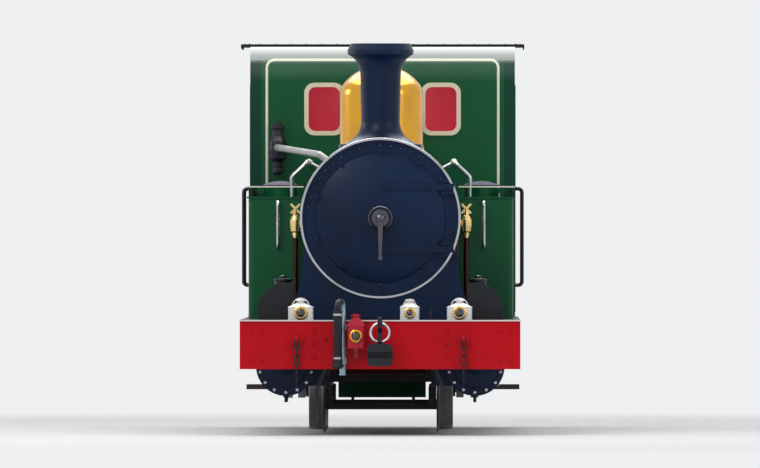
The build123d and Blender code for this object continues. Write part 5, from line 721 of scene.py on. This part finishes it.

# %% [markdown]
# ## Bright edges at the front
# The cream strip on the front edge of the tank tops and the rose-white strip on the platform's edge are
# painted highlights, where these edges catch the sky. The smokebox ring is rubbed bright. These edges are
# what catches the eye from the front. The door has a rounded rim of its own, which is painted. Both rims
# are thin profiles spun about the boiler's axis.

# %% Bright edges
EDGE_PROUD = 0.0012
edges = bmesh.new()
for side in SIDES:
    # A cream strip on each tank top's front edge: a painted highlight, where the edge catches the sky.
    add_side_block(edges, side, (TANK_INNER_X + 0.004, tank_low.y - EDGE_PROUD, tank_high.z - 0.0115),
                   (tank_high.x - 0.002, tank_low.y, tank_high.z - 0.001))
put("tank_front_highlights", edges, lining_and_highlight_paint)
# A rose-white strip on each end of the platform: a painted highlight, where the edge catches the sky.
edges = bmesh.new()
for low_y, high_y in ((plate_low.y - EDGE_PROUD, plate_low.y), (plate_high.y, plate_high.y + EDGE_PROUD)):
    add_block(edges, (plate_low.x + 0.002, low_y, PLATE_TOP - 0.011),
              (plate_high.x - 0.002, high_y, PLATE_TOP - 0.001))
put("platform_edge_highlights", edges, edge_highlight_paint)
ring_centre = Vector((0, smokebox_low.y, boiler_z))
rim = [(ring_radius - 0.016, -0.001), (ring_radius - 0.016, 0.0015), (ring_radius - 0.001, 0.0015),
       (ring_radius + 0.0012, -0.001), (ring_radius + 0.0012, -0.013), (ring_radius - 0.001, -0.013)]
turned("smokebox_rim", [(rim, ring_centre, -Y, 96)], steel)
DOOR_RADIUS, DOOR_RIM = 0.490, 0.020
rim_face = smokebox_face - DOOR_RIM
rim = [(DOOR_RADIUS - 0.014, -0.004), (DOOR_RADIUS - 0.013, 0.004), (DOOR_RADIUS - 0.002, 0.0015),
       (DOOR_RADIUS + 0.001, -0.001), (DOOR_RADIUS + 0.001, -0.006), (DOOR_RADIUS - 0.001, -0.007)]
turned("door_rim", [(rim, (0, rim_face, boiler_z), -Y, 96)], smokebox_paint, "door")

# %% [markdown]
# ## Rivets and bolts
# Plates are joined by round-headed rivets, and parts that come off by bolts. Rows of points from
# `between` and rings of points from `circle` place them, and each group shares one piece and one
# finish with the plate that it is in.

# %% Rivets and bolts on the smokebox and its door
RING_RIVET_RADIUS = 0.545
SMOKEBOX_SKIN = 0.6035
SMOKEBOX_ROW_YS = (-2.748, -2.056)
ROW_START, ROW_SWEEP, ROW_STEPS = -40, 260, 40
groups = [(circle(ring_centre, X, Z, RING_RIVET_RADIUS, 44), -Y)]
for row_y in SMOKEBOX_ROW_YS:
    for step in range(ROW_STEPS + 1):
        angle = math.radians(ROW_START + ROW_SWEEP * step / ROW_STEPS)
        outward = X * math.cos(angle) + Z * math.sin(angle)
        groups.append(([Vector((0, row_y, boiler_z)) + outward * SMOKEBOX_SKIN], outward))
heads("smokebox_rivets", RIVET, groups, 0.011, smokebox_paint)
DISH = 0.070
STRAP_HALF_H = 0.237
STRAP_BOLT_XS = (0.06, 0.15, 0.25, 0.35)
dish_radius = (DOOR_RADIUS ** 2 + DISH ** 2) / (2 * DISH)
strap_radius = math.sqrt(dish_radius ** 2 - STRAP_HALF_H ** 2) + 0.012
dish_centre_y = rim_face - DISH + dish_radius
spots = [(x, dish_centre_y - math.sqrt(strap_radius ** 2 - x ** 2), boiler_z + sign * STRAP_HALF_H)
         for sign in SIDES for x in STRAP_BOLT_XS]
heads("strap_bolts", BOLT, [(spots, -Y)], 0.013, smokebox_paint, "door")
DOG_RADIUS, HINGE_X = 0.5115, 0.45
dog = [(0.015, 0), (0.015, 0.012), (0.009, 0.014), (0.009, 0.026), (0, 0.027)]
spots = circle(ring_centre, X, Z, DOG_RADIUS, 10, 0.5)
dogs = [(dog, spot, -Y, 12) for spot in spots if spot.x < HINGE_X]
turned("door_dogs", dogs, smokebox_paint)

# A plate stands behind the door on six studs and keeps the heat off it.
plate = [(0, 0), (0.385, 0), (0.385, 0.006), (0.360, 0.006), (0.352, 0.002), (0, 0.002)]
stud = [(0, 0), (0.012, 0), (0.012, 0.038), (0.020, 0.038), (0.020, 0.046), (0, 0.046)]
spots = circle((0, smokebox_face - 0.002, boiler_z), X, Z, 0.30, 6, 0.5)
baffle = [(plate, (0, smokebox_face + 0.028, boiler_z), Y, 64)] + [(stud, spot, Y, 12) for spot in spots]
turned("door_baffle", baffle, smokebox_paint, "door")

# %% Bolts on the beams and cylinders
BEAM_BOLTS = [
    # x, z
    (0.422, 0.735), (0.507, 0.796), (0.507, 0.700), (0.581, 0.735), (0.507, 0.600),
    (0.900, 0.796), (0.900, 0.580), (0.985, 0.796), (0.985, 0.580),
]
groups = []
for end in SIDES:
    groups.append(([(side * x, end * BEAM_FACE, z) for side in SIDES for x, z in BEAM_BOLTS], Y * end))
heads("beam_bolts", BOLT, groups, 0.017, red_paint)
cover_face_y = cylinder_low.y + 0.038
COVER_BOLT_RADIUS = 0.2
groups = []
for side in SIDES:
    centre = (side * CYLINDER_X, cover_face_y, axle_z)
    groups.append((circle(centre, X, Z, COVER_BOLT_RADIUS, 14, 0.5), -Y))
heads("cylinder_cover_bolts", BOLT, groups, 0.013, steel)
band = hoop(0.213, 0.2165, 0.010)
bands = [(band, (side * CYLINDER_X, band_y, axle_z), Y, 64) for side in SIDES
         for band_y in (cover_face_y + 0.10, cylinder_high.y - 0.19)]
turned("cylinder_bands", bands, steel)

# %% Rivets on plates and sheets
def side_row(side, x, start, end, pitch):
    """A row on a side sheet from one (y, z) to another, with heads that point outwards."""
    return between((side * x, *start), (side * x, *end), pitch), X * side


VALANCE_X, VALANCE_END_Y, VALANCE_ROW_Z = 1.025, 3.34, 0.848
FOOT_ROW_Z, TANK_TOP_ROW_Z = 0.898, 1.788
CAB_FRONT_ROW_Y, CAB_BACK_ROW_Y = 1.482, 2.978
tank_row_ys = (tank_face_y + 0.06, cab_low.y - 0.03)
tank_joint_y = cab_low.y - 0.022
SHEET_ROWS = [
    # x, first y and z, last y and z, pitch
    (tank_face_x, (tank_row_ys[0], FOOT_ROW_Z), (tank_row_ys[1], FOOT_ROW_Z), 0.06),
    (tank_face_x, (tank_row_ys[0], TANK_TOP_ROW_Z), (tank_row_ys[1], TANK_TOP_ROW_Z), 0.06),
    (tank_face_x, (tank_joint_y, 0.94), (tank_joint_y, 1.75), 0.06),
    (cab_side_x, (CAB_FRONT_ROW_Y, 0.90), (CAB_FRONT_ROW_Y, 2.70), 0.07),
    (cab_side_x, (CAB_BACK_ROW_Y, 0.90), (CAB_BACK_ROW_Y, 2.98), 0.07),
    (BUNKER_X, (3.03, FOOT_ROW_Z), (3.37, FOOT_ROW_Z), 0.06),
]
valance_ends = ((-VALANCE_END_Y, VALANCE_ROW_Z), (VALANCE_END_Y, VALANCE_ROW_Z))
groups = [side_row(side, VALANCE_X, *valance_ends, 0.125) for side in SIDES]
heads("valance_rivets", RIVET, groups, 0.009, frame_paint)
groups = []
for side in SIDES:
    groups += [side_row(side, *row) for row in SHEET_ROWS]
    groups.append((between((side * 0.97, BUNKER_BACK_Y, 0.93), (side * 0.97, BUNKER_BACK_Y, 1.85), 0.06), Y))
groups.append((between((-0.93, BUNKER_BACK_Y, FOOT_ROW_Z), (0.93, BUNKER_BACK_Y, FOOT_ROW_Z), 0.06), Y))
heads("sheet_rivets", SMALL_RIVET, groups, 0.0065, green_paint)
ROOF_RIB_YS, ROOF_ROW_X = (1.770, 2.355, 3.060), 1.08
groups = []
for rib_y in ROOF_RIB_YS:
    for row_y in (rib_y - 0.012, rib_y + 0.012):
        ends = [(end_x, row_y, roof_high.z) for end_x in (-ROOF_ROW_X, ROOF_ROW_X)]
        groups.append((between(*ends, 0.12), Z))
heads("roof_rivets", SMALL_RIVET, groups, 0.006, roof_paint)
BOX_LOW_Y, BOX_HIGH_Y, BOX_ROW_Z = -2.77, -2.35, 0.905
groups = []
for side in SIDES:
    groups.append(side_row(side, 0.935, (BOX_LOW_Y + 0.03, BOX_ROW_Z), (BOX_HIGH_Y - 0.03, BOX_ROW_Z), 0.06))
    ends = [(side * x, BOX_LOW_Y, BOX_ROW_Z) for x in (0.69, 0.905)]
    groups.append((between(*ends, 0.055), -Y))
heads("sandbox_rivets", RIVET, groups, 0.007, frame_paint)

# %% [markdown]
# ## Lamps
# Each lamp is a tin case with a lens in a brass ring. The lens is dark glass that bulges, so it takes
# a small bright reflection, which is how a lamp that isn't lit looks by day. Both are profiles spun
# about the lens's axis.

# %% Lamp lenses and rings
LENSES = [
    # x, y of the case's face, z, lens radius
    (-0.603, -3.368, 0.9295, 0.0418),
    (0.225, -3.368, 0.9295, 0.0321),
    (0.603, -3.368, 0.9295, 0.0418),
    (-0.183, -3.579, 0.756, 0.0396),
]
lenses, rings = [], []
for x, y, z, radius in LENSES:
    lens_edge = (radius - 0.0075, 0.0085)
    bulge = [lens_edge, (radius * 0.55, 0.0142), (radius * 0.25, 0.0163), (0, 0.0168)]
    lenses += [(profile, (x, y, z), -Y, 24) for profile in (bulge, [lens_edge, (0, 0.0080)])]
    ring = [(radius - 0.0052, 0.016), (radius - 0.0050, 0.0188), (radius, 0.0190),
            (radius + 0.0086, 0.0146), (radius + 0.0088, 0.0090), (radius + 0.0078, 0.0085)]
    rings.append((ring, (x, y, z), -Y, 32))
turned("lamp_lenses", lenses, lens_glass)
turned("lamp_rings", rings, brass)

# %% [markdown]
# ## Hoses
# A vacuum hose is rubber over a wire coil, which shows as close ribs. Each rib is a small profile
# spun about the hose, and a loop stacks them between the bright clips at the hose's two ends.

# %% Hose ribs and clips
HOSE_X, HOSE_Y, HOSE_RADIUS = -0.320, 3.578, 0.031
RIB_START_Z, RIB_PITCH = 0.602, 0.0165
rib = [(HOSE_RADIUS - 0.001, -0.007), (HOSE_RADIUS + 0.0035, -0.0025), (HOSE_RADIUS + 0.0035, 0.0025),
       (HOSE_RADIUS - 0.001, 0.007)]
clip = hoop(HOSE_RADIUS, HOSE_RADIUS + 0.006, 0.008)
ribs, clips = [], []
for y in (HOSE_Y, -HOSE_Y):
    ribs += [(rib, (HOSE_X, y, RIB_START_Z + step * RIB_PITCH), Z, 20) for step in range(19)]
    clips += [(clip, (HOSE_X, y, z), Z, 24) for z in (0.588, 0.918)]
turned("hose_ribs", ribs, standpipe_sky_and_hose_finish)
turned("hose_clips", clips, steel)

# %% [markdown]
# ## Small brass and steel fittings
# Handrail knobs, the spring of the safety valves and the injectors under the cab are turned parts. An
# injector is a brass body with a pipe at its front, another at its back and an overflow that points
# at the ballast.

# %% Handrail knobs and valve spring
HANDRAIL_X, HANDRAIL_Z = 0.561, 2.083
knobs = bmesh.new()
for side in SIDES:
    for knob_y in (-1.2, -0.1, 1.0):
        sphere = bmesh.ops.create_uvsphere(knobs, u_segments=16, v_segments=10, radius=0.027)["verts"]
        bmesh.ops.translate(knobs, vec=(side * HANDRAIL_X, knob_y, HANDRAIL_Z), verts=sphere)
put("handrail_knobs", knobs, steel)
SPRING_Y = 0.70
spring = [(hoop(0.021, 0.029, 0.004), (0, SPRING_Y, 2.320 + step * 0.0145), Z, 20) for step in range(11)]
spring.append(([(0, 0), (0.010, 0), (0.010, 0.22), (0, 0.22)], (0, SPRING_Y, 2.286), Z, 12))
turned("valve_spring", spring, steel)

# %% Injectors and their pipes
INJECTOR = (0.90, 1.80, 0.640)
CAP_Y = 0.118
body = [(0.0, 0.0), (0.030, 0.0), (0.030, 0.03), (0.022, 0.034), (0.026, 0.07), (0.040, 0.085),
        (0.040, 0.15), (0.026, 0.165), (0.022, 0.20), (0.032, 0.204), (0.032, 0.235), (0.0, 0.235)]
cap = [(0.0, 0), (0.014, 0), (0.014, 0.05), (0.024, 0.052), (0.024, 0.066), (0, 0.066)]
PIPE_POINTS = [
    # y and z from the injector's front end
    [(0.01, 0), (-0.16, 0), (-0.16, 0.24)],
    [(0.225, 0), (0.34, 0), (0.34, 0.24)],
    [(CAP_Y, -0.03), (CAP_Y, -0.20), (0.06, -0.30)],
]
bodies, routes = [], []
for side in SIDES:
    start = Vector((side * INJECTOR[0], *INJECTOR[1:]))
    bodies += [(body, start, Y, 24), (cap, start + Vector((0, CAP_Y, 0.03)), Z, 16)]
    routes += [[start + Vector((0, y, z)) for y, z in points] for points in PIPE_POINTS]
turned("injectors", bodies, brass)
pipes("injector_pipes", routes, 0.016, copper)

# %% [markdown]
# ## Inside the cab
# Through the doorways and windows one sees the black backhead with copper pipes, a dial and the
# crew's seats. The dial's face is white with a plain scale of short strokes and one needle.

# %% Dial, pipes and seats
DIAL = Vector((0, 1.636, 2.281))
face = [(0, 0), (0.073, 0), (0.073, 0.003), (0, 0.0035)]
turned("dial_face", [(face, DIAL, Y, 40)], white_paint)
STROKE, NEEDLE = Vector((0.0022, 0.0005, 0.0022)), Vector((0.0025, 0.0006, 0.0025))  # half sizes
marks = bmesh.new()
for step in range(11):
    angle = math.radians(-45 + 27 * step)
    outward = X * -math.cos(angle) + Z * math.sin(angle)
    for reach in (0.056, 0.060, 0.064):
        spot = DIAL + outward * reach + Y * 0.0036
        add_block(marks, spot - STROKE, spot + STROKE)
for step in range(13):
    spot = DIAL + (X * 0.5 + Z * 0.866) * (step * 0.004 - 0.008) + Y * 0.0042
    add_block(marks, spot - NEEDLE, spot + NEEDLE)
put("dial_marks", marks, frame_paint)
CAB_PIPES = [
    # places on the right side, from the fountain on the boiler to the floor
    [(0.03, 1.63, 2.111), (0.36, 1.66, 2.10), (0.46, 1.66, 1.75), (0.50, 1.60, 1.30), (0.50, 1.60, 0.93)],
    [(0.03, 1.65, 2.111), (0.20, 1.70, 2.14), (0.56, 1.62, 2.05), (0.72, 1.53, 1.95), (0.86, 1.50, 1.50),
     (0.86, 1.50, 0.93)],
]
routes = [[(side * x, y, z) for x, y, z in route] for side in SIDES for route in CAB_PIPES]
pipes("cab_pipes", routes, 0.012, copper, bend=0.08)
FLOOR_TOP, SEAT_TOP = PLATE_TOP + 0.04, 1.36
seats, pads = bmesh.new(), bmesh.new()
for side in SIDES:
    add_side_block(seats, side, (0.72, 2.72, FLOOR_TOP), (1.020, 2.99, SEAT_TOP), 0.006)
    add_side_block(pads, side, (0.726, 2.722, SEAT_TOP), (1.014, 2.988, 1.41), 0.018, 4)
put("seat_boxes", seats, planks)
put("seat_pads", pads, lid_paint)

# %% [markdown]
# ## Beading
# A bead stiffens the edge of each cab opening and doorway. Round the opening it is made as the lining
# is, only wider and prouder, and two planes cut it where the doorway breaks it. Blocks carry it down
# the doorway's edges. The roof's side edges get a strip each, which leads the rain off.

# %% Beads round the cab openings
OPENING_LENGTH, OPENING_HEIGHT = 0.980, 0.748
OPENING_MIDDLE = (2.33, 2.302)  # y, z
opening_foot = OPENING_MIDDLE[1] - OPENING_HEIGHT / 2
BEAD_WIDTH, BEAD_PROUD = 0.022, 0.007
beads = bmesh.new()
for side in SIDES:
    lay = flat_panel((side * cab_side_x, *OPENING_MIDDLE), Y * side, Z)
    flat = outline(OPENING_LENGTH + 2 * BEAD_WIDTH, OPENING_HEIGHT + 2 * BEAD_WIDTH, 0.142, BEAD_WIDTH)
    door_ends = sorted(side * (door_y - OPENING_MIDDLE[0]) for door_y in (DOOR_FRONT_Y, DOOR_BACK_Y))
    for door_end in door_ends:
        bmesh.ops.bisect_plane(flat, geom=everything(flat), plane_co=(door_end, 0, 0), plane_no=(1, 0, 0))
    over_door = []
    for face in flat.faces:
        middle = face.calc_center_median()
        if door_ends[0] < middle.x < door_ends[1] and middle.y < 0:
            over_door.append(face)
    bmesh.ops.delete(flat, geom=over_door, context="FACES")
    lay_down(beads, flat, lay, BEAD_PROUD)
    for low_y in (DOOR_FRONT_Y - BEAD_WIDTH, DOOR_BACK_Y):
        add_side_block(beads, side, (cab_side_x, low_y, FLOOR_TOP),
                       (cab_side_x + BEAD_PROUD, low_y + BEAD_WIDTH, opening_foot))
put("cab_side_beads", beads, green_paint)
strips = bmesh.new()
for side in SIDES:
    add_side_block(strips, side, (1.040, 1.72, roof_high.z - 0.008),
                   (1.052, 3.11, roof_high.z + 0.004), 0.003)
put("rain_strips", strips, roof_paint)

# %% [markdown]
# ## Camera
# The photograph looks almost straight at the front from far away, a little from the right. A long
# lens at a great distance gives the same flat view, and the frame is closer round the engine than
# in the photograph, because the engine there is small.

# %% Camera
CAMERA_DISTANCE = 150.0
CAMERA_X, CAMERA_Z, AIM_Z = 0.6, 1.504, 1.53
FRAME_HEIGHT = 3.55
ASPECT = 760 / 468


def look(thing, spot, target):
    """Set a camera or a lamp at a spot, turned to its target."""
    thing.location = spot
    thing.rotation_mode = "QUATERNION"
    thing.rotation_quaternion = (Vector(target) - Vector(spot)).to_track_quat("-Z", "Y")
    scene.collection.objects.link(thing)


camera_data = bpy.data.cameras.new("camera")
camera_data.sensor_width = 36.0
camera_data.lens = camera_data.sensor_width * CAMERA_DISTANCE / (FRAME_HEIGHT * ASPECT)
camera_data.clip_start = 10.0
camera_data.clip_end = 600.0
camera = bpy.data.objects.new("camera", camera_data)
look(camera, (CAMERA_X, beam_low.y - CAMERA_DISTANCE, CAMERA_Z), (0.0, beam_low.y, AIM_Z))
scene.camera = camera
print("lens", round(camera_data.lens))

# %% [markdown]
# ## Floor and background
# The background is plain and pale. What a camera, gloss or glass sees of the world is a strength of
# 1, and the light that falls on the engine from it is weaker, so that the lamps give form. The
# floor keeps the engine's shadow near it and fades into the background further out.

# %% World and floor
BACKGROUND = (0.86, 0.87, 0.88, 1.0)
WORLD_LIGHT = 0.55
FADE_START, FADE_END = 5.0, 16.0
world = bpy.data.worlds.new("studio")
scene.world = world
world.use_nodes = True
tree = world.node_tree
back = tree.nodes["Background"]
ray = add_node(tree, "ShaderNodeLightPath").outputs
seen = arithmetic(tree, "MAXIMUM", ray["Is Glossy Ray"], ray["Is Transmission Ray"])
seen = arithmetic(tree, "MAXIMUM", ray["Is Camera Ray"], seen)
give(tree, back, {"Strength": remap(tree, seen, 0.0, 1.0, WORLD_LIGHT, 1.0), "Color": BACKGROUND})

floor_material, tree, shader = start_material("pale floor")
give(tree, shader, {"Base Color": (0.74, 0.745, 0.75, 1.0), "Roughness": 0.8})
far = add_node(tree, "ShaderNodeVectorMath", {0: own_place(tree)}, operation="LENGTH").outputs["Value"]
ray = add_node(tree, "ShaderNodeLightPath").outputs
seen = arithmetic(tree, "MAXIMUM", ray["Is Camera Ray"], ray["Is Glossy Ray"])
amount = arithmetic(tree, "MULTIPLY", remap(tree, far, FADE_START, FADE_END), seen)
plain = add_node(tree, "ShaderNodeEmission", {"Color": BACKGROUND, "Strength": 1.0}).outputs["Emission"]
blend = add_node(tree, "ShaderNodeMixShader", {"Fac": amount, 1: shader.outputs["BSDF"], 2: plain})
give(tree, tree.nodes["Material Output"], {"Surface": blend.outputs["Shader"]})
floor_bm = bmesh.new()
bmesh.ops.create_circle(floor_bm, cap_ends=True, segments=96, radius=60.0)
floor = as_object("floor", floor_bm, floor_material)
print("world and floor made")

# %% [markdown]
# ## Lights
# Four large soft lamps: a key from the left front, as the sun in the photograph, a weaker fill from
# the right, one from above for the roof and tank tops, and one far to the left that puts a
# highlight on the left of the dome and rims. A fifth panel, high up behind, only shows in gloss: its
# reflection lights the bent top of the cab front and the dome as the sky does in the photograph. A
# small one inside the cab stands for the daylight that falls in from behind.

# %% Lamps of the studio
LIGHTS = [
    # name, place, target, size, power, only seen in gloss
    ("key", (-6, -12, 9), (0, -1, 1.5), 6, 560, False),
    ("fill", (9, -9, 6), (0, -1, 1.5), 6, 200, False),
    ("top", (0, 1, 10), (0, 0.5, 1.5), 8, 300, False),
    ("side", (-9.5, 2.5, 4.5), (0, -0.5, 2.0), 2.5, 110, False),
    ("sky", (0, 5, 12), (0, 3, 2.5), 16, 4200, True),
    ("cab", (0, 1.70, 2.70), (0, 3.0, 2.1), 0.7, 6, False),
]
for name, spot, target, size, power, only_gloss in LIGHTS:
    data = bpy.data.lights.new(name, "AREA")
    data.shape = "SQUARE"
    data.size = size
    data.energy = power
    light = bpy.data.objects.new(name, data)
    light.visible_diffuse = not only_gloss
    light.visible_camera = False
    look(light, spot, target)
print(len(LIGHTS), "lights")
